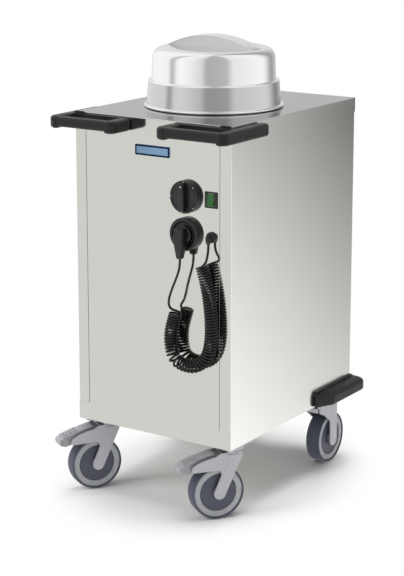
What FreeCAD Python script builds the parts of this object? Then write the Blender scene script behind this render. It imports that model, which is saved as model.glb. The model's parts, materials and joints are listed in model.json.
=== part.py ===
# Heated plate dispenser cart: one sprung plate well under a lift-off steel dome, in a sheet steel
# cabinet with two push handles, rear bumpers and four swivel castors, the front two with brakes.
# Everything is worked out from the cabinet's own frame: x = 0 in the middle, y = 0 on the front
# face, z = 0 on the floor. At the end all of it moves to the origin, which is the floor under the
# middle of the footprint. Millimetres, +X to the right, +Y to the rear, +Z up.
import FreeCAD, Part
import math
import os

os.makedirs("parts", exist_ok=True)
V = FreeCAD.Vector

# ---------------------------------------------------------------- driving dimensions
# Castors, from the floor up to the cabinet
wheel_radius = 62.5
wheel_width = 36.0
tyre_depth = 5.0
rim_ring = 14.5
rim_recess = 3.0
guard_recess = 4.0
tyre_clearance = 25.0
crown_plate = 8.0
race_height = 13.0
race_radius = 30.0
mount_plate = 4.0
trail = 36.0
front_castor_inset = 60.0
rear_castor_inset = 88.0
side_castor_inset = 38.0
left_swivel = 239.0
right_swivel = 235.0
rear_swivel = 90.0
axle_radius = 5.0
leg_thickness = 5.0
fork_play = 3.0
fork_corner = 9.0
kingpin_radius = 6.0
plate_bolts_x = 50.0
plate_bolts_y = 80.0
castor_plate_width = 72.0
castor_plate_length = 100.0
bolt_radius = 4.0
bolt_across = 13.0
bolt_head = 5.0
bolt_nut = 6.0
pedal_reach = 131.0
pedal_width = 34.0
pedal_corner = 6.0
pedal_pin_radius = 3.0
pedal_ribs = 5

# The fork's and the pedal's outlines, as (forward from the kingpin, down from the crown's top).
# A leg hangs from the axle's end of each: its radius and its way up from the axle.
brake_cheek = [(-18.0, 0.0), (32.0, 0.0), (44.0, 7.0), (60.0, 10.0), (85.0, 17.0), (103.0, 27.0),
               (103.0, 40.0), (2.0, 41.0), (-18.0, 14.0)]
brake_leg = (14.0, (-40.8, 86.9))
plain_cheek = [(-30.0, 0.0), (52.0, 0.0), (52.0, 46.0), (20.0, 48.0), (8.0, 38.0), (-10.0, 28.0),
               (-30.0, 18.0)]
plain_leg = (16.0, (0.0, 55.0))
nose_drop = 18.0
pedal_outline = [(40.0, 12.0), (47.0, 0.5), (76.0, 8.5), (120.0, 22.0), (131.0, 29.0), (129.0, 40.0),
                 (114.0, 45.0), (100.0, 42.0), (62.0, 30.0), (40.0, 25.0)]
pedal_pivot = (46.0, 18.0)

# Cabinet
cabinet_width = 420.0
cabinet_depth = 540.0
cabinet_height = 725.0
sheet = 1.5
corner_flange = 29.0
seam_gap = 1.0
plinth_height = 42.0
lap = 8.0
fold = 20.0
apron_height = 35.0
apron_proud = 4.5
vent_rows = 2
vent_slots = 7
vent_width = 8.0
vent_height = 46.0
vent_step = 24.0
vent_row_step = 66.0
vent_lift = 70.0

# Plate well, platform and lift
well_setback = 250.0
well_radius = 145.0
well_wall = 1.5
well_rise = 12.0
well_floor_gap = 3.5
slot_width = 24.0
slot_play = 14.0
platform_drop = 36.0
platform_play = 4.0
platform_skirt = 12.0
platform_travel = 440.0
column_length = 186.0
column_radius = 30.0
arm_thickness = 6.0
arm_width = 20.0
slide_block = 34.0
block_height = 30.0
rod_radius = 5.0
rod_play = 0.3
rod_offset = 20.0
hanger_drop = 28.0
hanger_web = 25.0
hanger_sheet = 5.0
spring_radius = 8.0
spring_pitch = 40.0
heater_radius = 100.0
heater_tube = 4.0
heater_lift = 14.0

# Dome lid
lid_overlap = 15.5
lid_sheet = 1.2
lid_bead = 3.8
lid_seat_gap = 0.3
lid_skirt_height = 61.0
lid_skirt_draft = 3.9
lid_step = 8.0
lid_body_height = 136.0
lid_body_draft = 2.8
lid_shoulder = 23.0
ridge_height = 28.0
ridge_width = 46.0
ridge_half_length = 117.0

# Push handles
handle_reach = 68.0
handle_overhang = 27.5
handle_height = 28.0
handle_drop = 4.0
handle_span = 155.0
handle_wrap = 116.0
arm_bar = 28.0
grip_thickness = 23.0
grip_height = 24.0
handle_corner = 20.0
handle_inner_corner = 14.0
handle_edge = 4.0
handle_wall = 6.0
handle_lip = 26.0
handle_screw = 2.5

# Rear corner bumpers
bumper_reach = 32.0
bumper_height = 38.0
bumper_face = 26.0
bumper_run = 175.0
bumper_ramp = 44.0
bumper_blunt = 10.0
bumper_corner = 24.0

# Controls on the front panel, placed from the right side and from the worktop
dial_inset = 116.0
dial_drop = 163.0
dial_radius = 36.5
dial_depth = 13.0
dial_grip = 14.0
socket_drop = 246.0
socket_radius = 37.0
socket_depth = 14.0
socket_bore = 20.5
socket_recess = 6.0
socket_body_radius = 26.0
socket_behind = 32.0
switch_from_dial = 64.5
switch_drop = 164.0
switch_width = 32.0
switch_height = 36.0
switch_lip = 3.0
rocker_width = 17.4
rocker_height = 27.4
rocker_play = 0.5
rocker_pivot_y = 3.0
switch_frame_x = 4.5
switch_frame_z = 2.5
switch_behind = 24.0
gland_from_dial = 65.5
gland_drop = 246.5
gland_radius = 12.2
gland_stem_radius = 7.0
gland_hood = 6.5
badge_width = 92.0
badge_height = 24.0
badge_thickness = 2.0
badge_x = 3.5
badge_drop = 71.0

# Plug and cord
plug_face_radius = 19.5
plug_width = 24.0
plug_depth = 22.0
plug_neck = 52.0
pin_radius = 2.4
pin_spacing = 19.0
pin_length = 19.0
wire = 5.4
coil_width = 31.0
coil_gap = 0.5
coil_pitch = 6.1
coil_turns = 60.6
coil_start_angle = 90.0
lead_straight = 10.0

# The line down the middle of the coil, and the two leads, read off the photograph as (x, y, z)
# from the middle of the parking socket on the panel's face
coil_shape = [
    (53.0, -18.0, -64.5), (60.5, -18.0, -87.0), (70.5, -18.0, -130.0), (77.0, -18.0, -180.0),
    (77.5, -18.5, -230.0), (67.0, -19.0, -270.0), (38.0, -20.0, -293.0), (6.0, -20.5, -294.5),
    (-19.5, -21.0, -284.0), (-28.0, -22.0, -256.0), (-28.0, -23.0, -224.0), (-20.0, -23.0, -196.0),
    (-14.0, -23.0, -177.0),
]
gland_lead_shape = [(65.5, -13.0, -14.0), (65.5, -13.0, -26.0), (66.5, -18.5, -40.0), (68.5, -26.5, -51.0)]
plug_lead_shape = [(-27.5, -30.0, -160.5), (-25.5, -34.0, -146.0), (-18.5, -31.5, -122.0),
                   (-8.5, -28.0, -96.0), (0.0, -26.5, -71.0), (0.0, -26.5, -52.0)]

# ---------------------------------------------------------------- sizes that follow
wheel_top = 2 * wheel_radius
crown_bottom = wheel_top + tyre_clearance
crown_top = crown_bottom + crown_plate
plate_bottom = crown_top + race_height
plate_top = plate_bottom + mount_plate
cabinet_bottom = plate_top
worktop = cabinet_bottom + cabinet_height
side = cabinet_width / 2
castor_x = side - side_castor_inset
fork_inside = wheel_width / 2 + fork_play
fork_outside = fork_inside + leg_thickness
well_outside = well_radius + well_wall
floor_top = cabinet_bottom + sheet
pad_top = floor_top + sheet
rim_seat = wheel_radius - tyre_depth
rim_lip = rim_seat - rim_ring
rim_face = wheel_width / 2 - rim_recess
guard_seat = rim_face - guard_recess
pin_z = crown_top - pedal_pivot[1]
well_bottom = floor_top + well_floor_gap
well_top = worktop + well_rise
platform_top = worktop - platform_drop
arm_top = platform_top - column_length
rod_circle = well_outside + rod_offset
hanger_z = worktop - hanger_drop
station_angles = (90.0, 210.0, 330.0)
lid_radius = well_outside + lid_overlap
lid_skirt_foot = lid_radius - 2 * lid_bead + 0.9
dial_x = side - dial_inset
switch_x = dial_x + switch_from_dial
gland_x = dial_x + gland_from_dial
socket_z = worktop - socket_drop
dial_z = worktop - dial_drop
switch_z = worktop - switch_drop
gland_z = worktop - gland_drop
switch_body_half = (rocker_width / 2 + switch_frame_x, rocker_height / 2 + switch_frame_z)
coil_radius = (coil_width - wire) / 2
coil_phase = math.radians(coil_start_angle)
coil_route, gland_lead, plug_lead = (
    [(dial_x + x, y, socket_z + z) for x, y, z in shape]
    for shape in (coil_shape, gland_lead_shape, plug_lead_shape))
castor_spots = {
    "front_left": (-castor_x, front_castor_inset, left_swivel),
    "front_right": (castor_x, front_castor_inset, right_swivel),
    "rear_left": (-castor_x, cabinet_depth - rear_castor_inset, rear_swivel),
    "rear_right": (castor_x, cabinet_depth - rear_castor_inset, rear_swivel),
}

# The footprint runs from the left pedal's rounded tip to the right bumper, and from handles to bumpers
swivel = math.radians(left_swivel)
pedal_side = castor_x + pedal_corner - (pedal_reach - pedal_corner) * math.cos(swivel) - (
    pedal_width / 2 - pedal_corner) * math.sin(swivel)
origin_shift = V(
    (pedal_side - side - max(bumper_reach, handle_overhang)) / 2,
    (handle_reach - cabinet_depth - bumper_reach) / 2,
    0.0,
)


# ---------------------------------------------------------------- helpers
def box(x0, x1, y0, y1, z0, z1):
    return Part.makeBox(x1 - x0, y1 - y0, z1 - z0, V(x0, y0, z0))


def rod(start, end, radius):
    """A round bar from one point to another."""
    line = V(*end) - V(*start)
    return Part.makeCylinder(radius, line.Length, V(*start), line)


def flat(points, height, lift=0.0):
    """A prism from a closed outline of (x, y) points, standing on z = lift."""
    corners = [V(x, y, lift) for x, y in points]
    face = Part.Face(Part.makePolygon(corners + corners[:1]))
    return face.extrude(V(0, 0, height))


def turned(outline):
    """A body of revolution about Z. An outline's item is (r, z), or an arc's middle and end as a pair."""
    edges = []
    first = here = V(outline[0][0], 0, outline[0][1])
    for item in outline[1:] + [outline[0]]:
        if isinstance(item[0], tuple):
            middle, there = (V(r, 0, z) for r, z in item)
            edges.append(Part.Arc(here, middle, there).toShape())
        else:
            there = V(item[0], 0, item[1])
            if (there - here).Length > 1e-7:
                edges.append(Part.LineSegment(here, there).toShape())
        here = there
    if (here - first).Length > 1e-7:
        edges.append(Part.LineSegment(here, first).toShape())
    return Part.Face(Part.Wire(edges)).revolve(V(0, 0, 0), V(0, 0, 1), 360)


def hexagon(across, z0, z1):
    corner = across / math.sqrt(3)
    points = [(corner * math.cos(a), corner * math.sin(a)) for a in (k * math.pi / 3 for k in range(6))]
    return flat(points, z1 - z0, z0)


def join(*shapes):
    return shapes[0].fuse(list(shapes[1:])).removeSplitter() if len(shapes) > 1 else shapes[0]


def group(shapes):
    return Part.makeCompound(shapes)


def moved(shape, x=0.0, y=0.0, z=0.0):
    copy = shape.copy()
    copy.translate(V(x, y, z))
    return copy


def turned_by(shape, axis, degrees):
    copy = shape.copy()
    copy.rotate(V(0, 0, 0), axis, degrees)
    return copy


def mirrored(shape):
    """The same piece on the other side of the cabinet."""
    return shape.mirror(V(0, 0, 0), V(1, 0, 0))


def round_edges(shape, radius, wanted):
    """Fillets the edges for which wanted(edge) is true."""
    edges = [e for e in shape.Edges if wanted(e)]
    return shape.makeFillet(radius, edges)


def save(name, shape):
    placed = moved(shape, *origin_shift)
    if not placed.isValid():
        print("not valid:", name)
    placed.exportStep(f"parts/{name}.step")


# ---------------------------------------------------------------- cabinet
def top_plate():
    """The worktop: flat sheet with the well's hole, inner folds, and a boxed apron at the rear."""
    rear = cabinet_depth + apron_proud
    under = worktop - sheet
    plate = box(-side, side, 0, rear, under, worktop)
    apron = box(-side, side, rear - sheet, rear, worktop - apron_height, worktop)
    lip = box(-side, side, cabinet_depth, rear, worktop - apron_height, worktop - apron_height + sheet)
    inner = side - corner_flange - lap - sheet
    front_fold = box(-inner, inner, sheet, 2 * sheet, worktop - fold, under)
    side_fold = box(side - 2 * sheet, side - sheet, 2 * fold, cabinet_depth - 2 * fold, worktop - fold, under)
    hole = rod((0, well_setback, under - 1), (0, well_setback, worktop + 1), well_outside)
    return join(plate, apron, lip, front_fold, side_fold, mirrored(side_fold)).cut(hole)


def side_panel():
    """Right-hand side: the sheet, its front flange with a lap behind the front panel, and two folds."""
    top = worktop - sheet
    flange_bottom = cabinet_bottom + plinth_height
    skin = box(side - sheet, side, 0, cabinet_depth, cabinet_bottom, top)
    flange = box(side - corner_flange, side, 0, sheet, flange_bottom, top)
    tab = box(side - corner_flange - lap, side - corner_flange + sheet, sheet, 2 * sheet, flange_bottom, top)
    foot = box(side - fold, side - sheet, 2 * sheet, cabinet_depth - 2 * sheet, floor_top, floor_top + sheet)
    rear = box(side - fold, side - sheet, cabinet_depth - 2 * sheet, cabinet_depth - sheet,
               floor_top, worktop - fold)
    return join(skin, flange, tab, foot, rear)


def front_panel():
    """The panel between the side flanges, with a full-width foot strip and the controls' cut-outs."""
    half = side - corner_flange - seam_gap
    split = cabinet_bottom + plinth_height - seam_gap
    panel = box(-half, half, 0, sheet, split, worktop - sheet)
    strip = box(-side + sheet, side - sheet, 0, sheet, cabinet_bottom, split)
    cuts = [
        rod((dial_x, -1, dial_z), (dial_x, sheet + 1, dial_z), 5.0),
        rod((dial_x, -1, socket_z), (dial_x, sheet + 1, socket_z), socket_body_radius),
        rod((gland_x, -1, gland_z), (gland_x, sheet + 1, gland_z), gland_stem_radius),
        box(switch_x - switch_body_half[0], switch_x + switch_body_half[0], -1, sheet + 1,
            switch_z - switch_body_half[1], switch_z + switch_body_half[1]),
    ]
    return join(panel, strip).cut(cuts)


def back_panel():
    """The rear sheet, with rows of vent slots low down."""
    panel = box(-side + sheet, side - sheet, cabinet_depth - sheet, cabinet_depth,
                cabinet_bottom + sheet, worktop - sheet)
    cuts = []
    for row in range(vent_rows):
        for slot in range(vent_slots):
            x = (slot - (vent_slots - 1) / 2) * vent_step
            z = cabinet_bottom + vent_lift + row * vent_row_step
            cuts.append(box(x - vent_width / 2, x + vent_width / 2, cabinet_depth - sheet - 1,
                            cabinet_depth + 1, z, z + vent_height))
    return panel.cut(cuts)


def base_plate():
    return box(-side + sheet, side - sheet, sheet, cabinet_depth - sheet, cabinet_bottom, floor_top)


def castor_pads():
    """Four plates on the base, level with the sides' foot folds, under the castors' inner nuts."""
    pads = []
    for x, y, _ in castor_spots.values():
        edges = (castor_x - castor_plate_width / 2, side - fold)
        inner, outer = sorted(math.copysign(edge, x) for edge in edges)
        half = castor_plate_length / 2
        pads.append(box(inner, outer, y - half, y + half, floor_top, pad_top))
    return group(pads)


def cabinet_bolt_holes():
    """The castor bolts' holes up through the base, the pads and the sides' folds."""
    return [moved(hole, x, y, cabinet_bottom - 1) for x, y, _ in castor_spots.values()
            for hole in bolt_holes(pad_top - cabinet_bottom + 2)]


# ---------------------------------------------------------------- handles and bumpers
def handle():
    """Right-hand push handle: a closed ring with a grip bar in front, its outer arm wrapping the side."""
    outer = side + handle_overhang
    inner = side - handle_span
    top = worktop - handle_drop
    bottom = top - handle_height
    block = box(inner, outer, -handle_reach, 0, bottom, top)
    wrap = box(side, outer, 0, handle_wrap, bottom, top)
    body = join(block, wrap)
    body = round_edges(body, handle_corner, lambda e: upright(e) and (
        at(e, outer, -handle_reach) or at(e, inner, -handle_reach)))
    body = round_edges(body, handle_inner_corner, lambda e: upright(e) and at(e, outer, handle_wrap))
    body = round_edges(body, handle_edge, lambda e: rim_edge(e, top, bottom))
    gap_front = -handle_reach + grip_thickness
    gap = box(inner + arm_bar, outer - arm_bar, gap_front, -handle_wall, bottom - 1, top + 1)
    gap = round_edges(gap, handle_wall, upright)
    relief = box(inner + arm_bar, outer - arm_bar, -handle_reach - 1, gap_front + handle_wall,
                 bottom - 1, top - grip_height)
    lip = box(side - handle_lip, side, -2 * sheet, 0, top - 1, worktop + sheet)
    return join(body.cut([gap, relief]), lip)


def upright(edge):
    return len(edge.Vertexes) == 2 and abs(edge.tangentAt(edge.FirstParameter).z) > 0.99


def crosswise(edge):
    """An edge that starts along Y."""
    return abs(edge.tangentAt(edge.FirstParameter).y) > 0.99


def at(edge, x, y):
    middle = edge.CenterOfMass
    return abs(middle.x - x) < 0.1 and abs(middle.y - y) < 0.1


def rim_edge(edge, top, bottom):
    """An edge of the handle's outer faces that runs along its top or its bottom."""
    middle = edge.CenterOfMass
    level = min(abs(middle.z - top), abs(middle.z - bottom)) < 0.1 and edge.BoundBox.ZLength < 0.1
    against_cabinet = abs(middle.y) < 0.1 or (abs(middle.x - side) < 0.1 and middle.y > 0)
    return level and not against_cabinet


def handle_screws():
    """Two screws through the panel into each handle's arms, and two through the side."""
    z = worktop - handle_drop - handle_height / 2
    into, behind = 11.0, 5.0
    screws = []
    for x in (side - handle_span + arm_bar / 2, side - arm_bar / 2):
        screws.append(rod((x, -into, z), (x, sheet + behind, z), handle_screw))
    for y in (2 * fold, handle_wrap - fold):
        screws.append(rod((side - sheet - behind, y, z), (side + into, y, z), handle_screw))
    return screws


def bumper():
    """Right rear corner bumper: starts blunt on the side, turns the corner and runs along the back."""
    x_out = side + bumper_reach
    y_out = cabinet_depth + bumper_reach
    start = cabinet_depth - bumper_run
    inner_end = side - bumper_run
    outline = [
        (side, start), (side + bumper_blunt, start), (x_out, start + bumper_ramp), (x_out, y_out),
        (inner_end + bumper_ramp, y_out), (inner_end, cabinet_depth + bumper_blunt),
        (inner_end, cabinet_depth), (side, cabinet_depth),
    ]
    body = flat(outline, bumper_height, cabinet_bottom)
    body = round_edges(body, bumper_corner, lambda e: upright(e) and at(e, x_out, y_out))
    body = round_edges(body, bumper_blunt - 2, lambda e: upright(e) and (
        at(e, side + bumper_blunt, start) or at(e, inner_end, cabinet_depth + bumper_blunt)))
    slope = bumper_height - bumper_face
    low = cabinet_bottom + bumper_face
    above = low + 2 * bumper_height
    fall = low - slope / bumper_reach
    side_wedge = wedge([(side, low + slope), (x_out + 1, fall), (x_out + 1, above), (side, above)],
                       start - 1, y_out + 1)
    back_wedge = turned_by(wedge([(0, low + slope), (bumper_reach + 1, fall), (bumper_reach + 1, above),
                                  (0, above)], -y_out, -inner_end + 1), V(0, 0, 1), 90)
    return body.cut([side_wedge, moved(back_wedge, 0, cabinet_depth, 0)])


def wedge(points, y0, y1):
    """A prism along Y from (x, z) points."""
    corners = [V(x, y0, z) for x, z in points]
    return Part.Face(Part.makePolygon(corners + corners[:1])).extrude(V(0, y1 - y0, 0))


# ---------------------------------------------------------------- castors, with the trail along +X
def bolt_holes(depth):
    holes = []
    for x in (-plate_bolts_x / 2, plate_bolts_x / 2):
        for y in (-plate_bolts_y / 2, plate_bolts_y / 2):
            holes.append(rod((x, y, 0), (x, y, depth), bolt_radius + 0.2))
    return holes


def castor_plate():
    plate = box(-castor_plate_width / 2, castor_plate_width / 2, -castor_plate_length / 2,
                castor_plate_length / 2, plate_bottom, plate_top)
    plate = round_edges(plate, 6, upright)
    pin_hole = rod((0, 0, plate_bottom - 1), (0, 0, plate_top + 1), kingpin_radius + 0.1)
    return plate.cut([pin_hole] + [moved(hole, z=plate_bottom - 1) for hole in bolt_holes(mount_plate + 2)])


def castor_bolts():
    """Four hexagon bolts, up through the castor's plate and the cabinet's base, with nuts inside."""
    bolts = []
    for x in (-plate_bolts_x / 2, plate_bolts_x / 2):
        for y in (-plate_bolts_y / 2, plate_bolts_y / 2):
            head = hexagon(bolt_across, plate_bottom - bolt_head, plate_bottom)
            shank = rod((0, 0, plate_bottom - 1), (0, 0, pad_top + bolt_nut + 1.5), bolt_radius)
            nut = hexagon(bolt_across, pad_top, pad_top + bolt_nut)
            bolts.append(moved(join(head, shank, nut), x, y))
    return bolts


def kingpin():
    """The pin that the fork turns on, with its race above the crown and its nut below it."""
    play = 0.3
    return turned([
        (0, crown_bottom - 6), (10.5, crown_bottom - 6), (10.5, crown_bottom - play),
        (kingpin_radius, crown_bottom - play), (kingpin_radius, crown_top + play),
        (race_radius - 2, crown_top + play), (race_radius, crown_top + play + 2), (race_radius, plate_bottom),
        (kingpin_radius, plate_bottom), (kingpin_radius, plate_top), (0, plate_top),
    ])


def from_crown(points):
    """(forward, down from the crown's top) to (x, z)."""
    return [(x, crown_top - down) for x, down in points]


def slab(points, thickness, y=0.0):
    """A plate from a closed outline of (x, z) points, from y backwards."""
    corners = [V(x, y, z) for x, z in points]
    return Part.Face(Part.makePolygon(corners + corners[:1])).extrude(V(0, thickness, 0))


def fork_side(cheek, leg):
    """One cheek and leg of the fork."""
    radius, way = leg
    foot = V(trail, 0, wheel_radius)
    way_up = V(way[0], 0, way[1])
    top = foot + way_up
    across = V(way_up.z, 0, -way_up.x) * (radius / way_up.Length)
    corners = [(p.x, p.z) for p in (foot - across, foot + across, top + across, top - across)]
    end = Part.makeCylinder(radius, leg_thickness, foot, V(0, 1, 0))
    side_plate = join(slab(corners, leg_thickness), slab(from_crown(cheek), leg_thickness), end)
    return moved(side_plate, y=fork_inside)


def fork(braked):
    """The swivelling fork: a crown, two legs and, where there is a brake, cheeks over the wheel."""
    cheek, leg = (brake_cheek, brake_leg) if braked else (plain_cheek, plain_leg)
    front, back = cheek[0][0], cheek[1][0]
    near = fork_side(cheek, leg)
    far = near.mirror(V(0, 0, 0), V(0, 1, 0))
    crown = box(front, back, -fork_outside, fork_outside, crown_bottom, crown_top)
    nose = box(front, front + leg_thickness, -fork_outside, fork_outside, crown_top - nose_drop, crown_top)
    outline = round_edges(box(front, pedal_reach, -fork_outside, fork_outside, 0, crown_top), fork_corner,
                          lambda e: upright(e) and e.CenterOfMass.x < 0)
    body = join(near, far, crown, nose).common(outline)
    seats = [
        rod((0, 0, crown_bottom - 1), (0, 0, crown_top + 1), kingpin_radius + 0.06),
        rod((trail, -fork_outside + 1.5, wheel_radius), (trail, fork_outside - 1.5, wheel_radius),
            axle_radius + 0.05),
    ]
    if braked:
        x, end = pedal_pivot[0], fork_outside - 2
        seats.append(rod((x, -end, pin_z), (x, end, pin_z), pedal_pin_radius + 0.3))
    return body.cut(seats)


def pedal():
    """The brake pedal: a ribbed lever between the cheeks, on stub pins."""
    half = pedal_width / 2
    outline = from_crown(pedal_outline)
    body = round_edges(slab(outline, pedal_width, -half), pedal_corner, pedal_tip)
    start, end = (V(x, 0, z) for x, z in outline[2:4])
    along = end - start
    pitch = along.Length / (pedal_ribs + 1)
    along.normalize()
    ribs = []
    for k in range(pedal_ribs):
        spot = start + along * (pitch * (k + 1.3))
        rib = box(-1.6, 1.6, -half + 1.5, half - 1.5, -1, 1.3)
        rib = turned_by(rib, V(0, 1, 0), math.degrees(math.atan2(-along.z, along.x)))
        ribs.append(moved(rib, spot.x, 0, spot.z))
    pin_end = fork_outside - 2.3
    pin = rod((pedal_pivot[0], -pin_end, pin_z), (pedal_pivot[0], pin_end, pin_z), pedal_pin_radius)
    return join(body, pin, *ribs)


def pedal_tip(edge):
    """The pedal's two corners that run up and down its end."""
    middle = edge.CenterOfMass
    return middle.x > pedal_reach - 4 and abs(middle.y) > 1 and edge.BoundBox.YLength < 0.1


def on_axle(shape):
    """A wheel piece, turned about Z, moves onto the axle."""
    return moved(turned_by(shape, V(1, 0, 0), 90), trail, 0, wheel_radius)


def tyre():
    half = wheel_width / 2
    return on_axle(turned([
        (rim_seat, -half + 2), (rim_seat + 2, -half),
        ((wheel_radius - 1.1, -half + 3), (wheel_radius, -half + 8)),
        (wheel_radius, half - 8),
        ((wheel_radius - 1.1, half - 3), (rim_seat + 2, half)),
        (rim_seat, half - 2),
    ]))


def rim():
    """The wheel's hub, web and outer ring, with a seat in each side for a guard."""
    hub = 12.0
    web = 4.0
    step = 3.5
    bore = axle_radius + 0.06
    end = fork_inside - 0.3
    half = [(bore, end), (hub, end), (hub, web), (rim_lip - step, web), (rim_lip - step, guard_seat),
            (rim_lip, guard_seat), (rim_lip, rim_face), (rim_seat, rim_face)]
    return on_axle(turned(half + [(r, -z) for r, z in reversed(half)]))


def wheel_guards():
    """The two dark discs in the wheel's sides."""
    bore, edge = 12.3, rim_lip - 0.2
    disc = turned([(bore, guard_seat), (edge, guard_seat), (edge, guard_seat + 2.5),
                   (edge - 10, guard_seat + 3.6), (bore, guard_seat + 4.4)])
    return group([on_axle(disc), on_axle(disc.mirror(V(0, 0, 0), V(0, 0, 1)))])


def axle():
    end = fork_outside - 1.6
    return rod((trail, -end, wheel_radius), (trail, end, wheel_radius), axle_radius)


def at_castor(shape, spot):
    """A castor piece turns to its swivel angle and moves under its corner."""
    x, y, angle = spot
    return moved(turned_by(shape, V(0, 0, 1), angle), x, y)


# ---------------------------------------------------------------- plate well and lift
def well_tube():
    """The well: a tube with a rolled top edge, a floor and three slots for the lift's arms."""
    wall = turned([(well_radius, well_bottom), (well_outside, well_bottom), (well_outside, well_top - 6),
                   ((well_outside + 3, well_top - 3), (well_outside, well_top)), (well_radius, well_top)])
    floor = rod((0, 0, well_bottom), (0, 0, well_bottom + well_wall), well_radius + 0.5)
    slots = []
    for angle in station_angles:
        slot = box(well_radius - 15, well_outside + 5, -slot_width / 2, slot_width / 2,
                   arm_top - arm_thickness - platform_travel - slot_play, arm_top + slot_play)
        slots.append(turned_by(slot, V(0, 0, 1), angle))
    return moved(join(wall, floor).cut(slots), y=well_setback)


def well_foot():
    """The ring that the well stands on."""
    ring = turned([(well_radius - 30, floor_top), (well_outside + 6, floor_top),
                   (well_outside + 6, well_bottom), (well_radius - 30, well_bottom)])
    return moved(ring, y=well_setback)


def heater_element():
    """A ring of tubular element on three feet, on the well's floor."""
    level = well_bottom + well_wall
    ring = Part.makeTorus(heater_radius, heater_tube)
    ring.translate(V(0, 0, level + heater_lift))
    feet = []
    for angle in (30.0, 150.0, 270.0):
        foot = box(heater_radius - 6, heater_radius + 6, -3, 3, level, level + heater_lift)
        feet.append(turned_by(foot, V(0, 0, 1), angle))
    return moved(join(ring, *feet), y=well_setback)


def plate_platform():
    """The dished disc that the plates stand on."""
    edge = well_radius - platform_play
    disc = turned([(0, platform_top - 2), (edge - 2, platform_top - 2),
                   (edge - 2, platform_top - platform_skirt), (edge, platform_top - platform_skirt),
                   (edge, platform_top - 4), ((edge - 1.2, platform_top - 1.2), (edge - 4, platform_top)),
                   (0, platform_top)])
    return moved(disc, y=well_setback)


def lift_carriage():
    """A column under the platform, with three arms through the slots to blocks on the guide rods."""
    low = arm_top - arm_thickness
    column = turned([(column_radius - 2, arm_top), (column_radius, arm_top),
                     (column_radius, platform_top - 2), (column_radius - 2, platform_top - 2)])
    hub = rod((0, 0, low), (0, 0, arm_top), column_radius + 18)
    pieces = [column, hub]
    half = spring_pitch / 2 + 10
    for angle in station_angles:
        arm = box(column_radius, rod_circle, -arm_width / 2, arm_width / 2, low, arm_top)
        block = box(well_outside + 4, rod_circle + slide_block / 2, -half, half,
                    arm_top - block_height, arm_top)
        pieces += [turned_by(arm, V(0, 0, 1), angle), turned_by(block, V(0, 0, 1), angle)]
    carriage = join(*pieces)
    holes = []
    for angle in station_angles:
        hole = rod((rod_circle, 0, low - 60), (rod_circle, 0, arm_top + 60), rod_radius + rod_play)
        holes.append(turned_by(hole, V(0, 0, 1), angle))
    return moved(carriage.cut(holes), y=well_setback)


def guide_rods():
    rods = []
    for angle in station_angles:
        bar = rod((rod_circle, 0, floor_top), (rod_circle, 0, hanger_z + 14), rod_radius)
        rods.append(moved(turned_by(bar, V(0, 0, 1), angle), y=well_setback))
    return group(rods)


def spring_hangers():
    """Brackets on the well that hold the rods' upper ends and the springs."""
    hangers = []
    start = well_outside - 8
    half = spring_pitch / 2 + 10
    well = rod((0, 0, hanger_z - 2 * hanger_web), (0, 0, hanger_z + hanger_web), well_outside)
    for angle in station_angles:
        shelf_top = hanger_z + hanger_sheet
        shelf = box(start, rod_circle + slide_block / 2, -half, half, hanger_z, shelf_top)
        web = box(start, well_outside + hanger_sheet, -half, half, hanger_z - hanger_web, hanger_z)
        hole = rod((rod_circle, 0, hanger_z - 1), (rod_circle, 0, shelf_top + 1), rod_radius + 0.1)
        bracket = turned_by(join(shelf, web).cut(hole), V(0, 0, 1), angle).cut(well)
        hangers.append(moved(bracket, y=well_setback))
    return group(hangers)


def lift_springs():
    """Six extension springs, drawn as their outer sleeves, two at each guide rod."""
    springs = []
    for angle in station_angles:
        for offset in (-spring_pitch / 2, spring_pitch / 2):
            sleeve = turned([(spring_radius - 2, arm_top), (spring_radius, arm_top),
                             (spring_radius, hanger_z), (spring_radius - 2, hanger_z)])
            sleeve = moved(sleeve, rod_circle, offset)
            springs.append(moved(turned_by(sleeve, V(0, 0, 1), angle), y=well_setback))
    return group(springs)


# ---------------------------------------------------------------- dome lid
def lid():
    """The pressed dome: rolled rim, skirt, step, body and round shoulder up to a flat top."""
    shell = dome(0.0).cut(dome(lid_sheet))
    bead = Part.makeTorus(lid_radius - lid_bead, lid_bead)
    bead.translate(V(0, 0, lid_bead))
    low, high = lid_bead + 2, lid_bead + lid_sheet + 2
    skirt_inside, bead_middle = lid_skirt_foot - lid_sheet, lid_radius - lid_bead
    flange = turned([(skirt_inside, low), (bead_middle, low), (bead_middle, high),
                     (lid_skirt_foot, high + 1.5), (skirt_inside, high + 1.5)])
    return on_well(join(shell, bead, flange))


def on_well(shape):
    """A piece of the lid, standing on z = 0, moves onto the worktop over the well."""
    return moved(shape, 0, well_setback, worktop + lid_seat_gap)


def dome(inset):
    """The dome's outside as a solid, or with an inset its inside."""
    skirt_foot = lid_skirt_foot - inset
    skirt_head = lid_skirt_foot - lid_skirt_draft - inset
    body_foot = lid_skirt_foot - lid_skirt_draft - lid_step - inset
    body_head = body_foot - lid_body_draft
    top = lid_body_height - inset
    shelf = lid_skirt_height - inset
    turn = lid_shoulder - inset
    centre = body_head - turn
    low = lid_bead + 2 if inset == 0 else lid_bead - 10
    diagonal = turn / math.sqrt(2)
    return turned([
        (0, low), (skirt_foot, low),
        (skirt_head, shelf - 3), ((skirt_head - 0.9, shelf - 0.9), (skirt_head - 3, shelf)),
        (body_foot + 1.5, shelf + 0.8), ((body_foot + 0.4, shelf + 1.6), (body_foot, shelf + 3)),
        (body_head, top - turn), ((centre + diagonal, top - turn + diagonal), (centre, top)), (0, top),
    ])


def lid_grip():
    """The grip ridge across the dome's top: a slice of a hollow ball, closed at both sides."""
    return on_well(ridge(0.0).cut(ridge(lid_sheet)))


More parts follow.
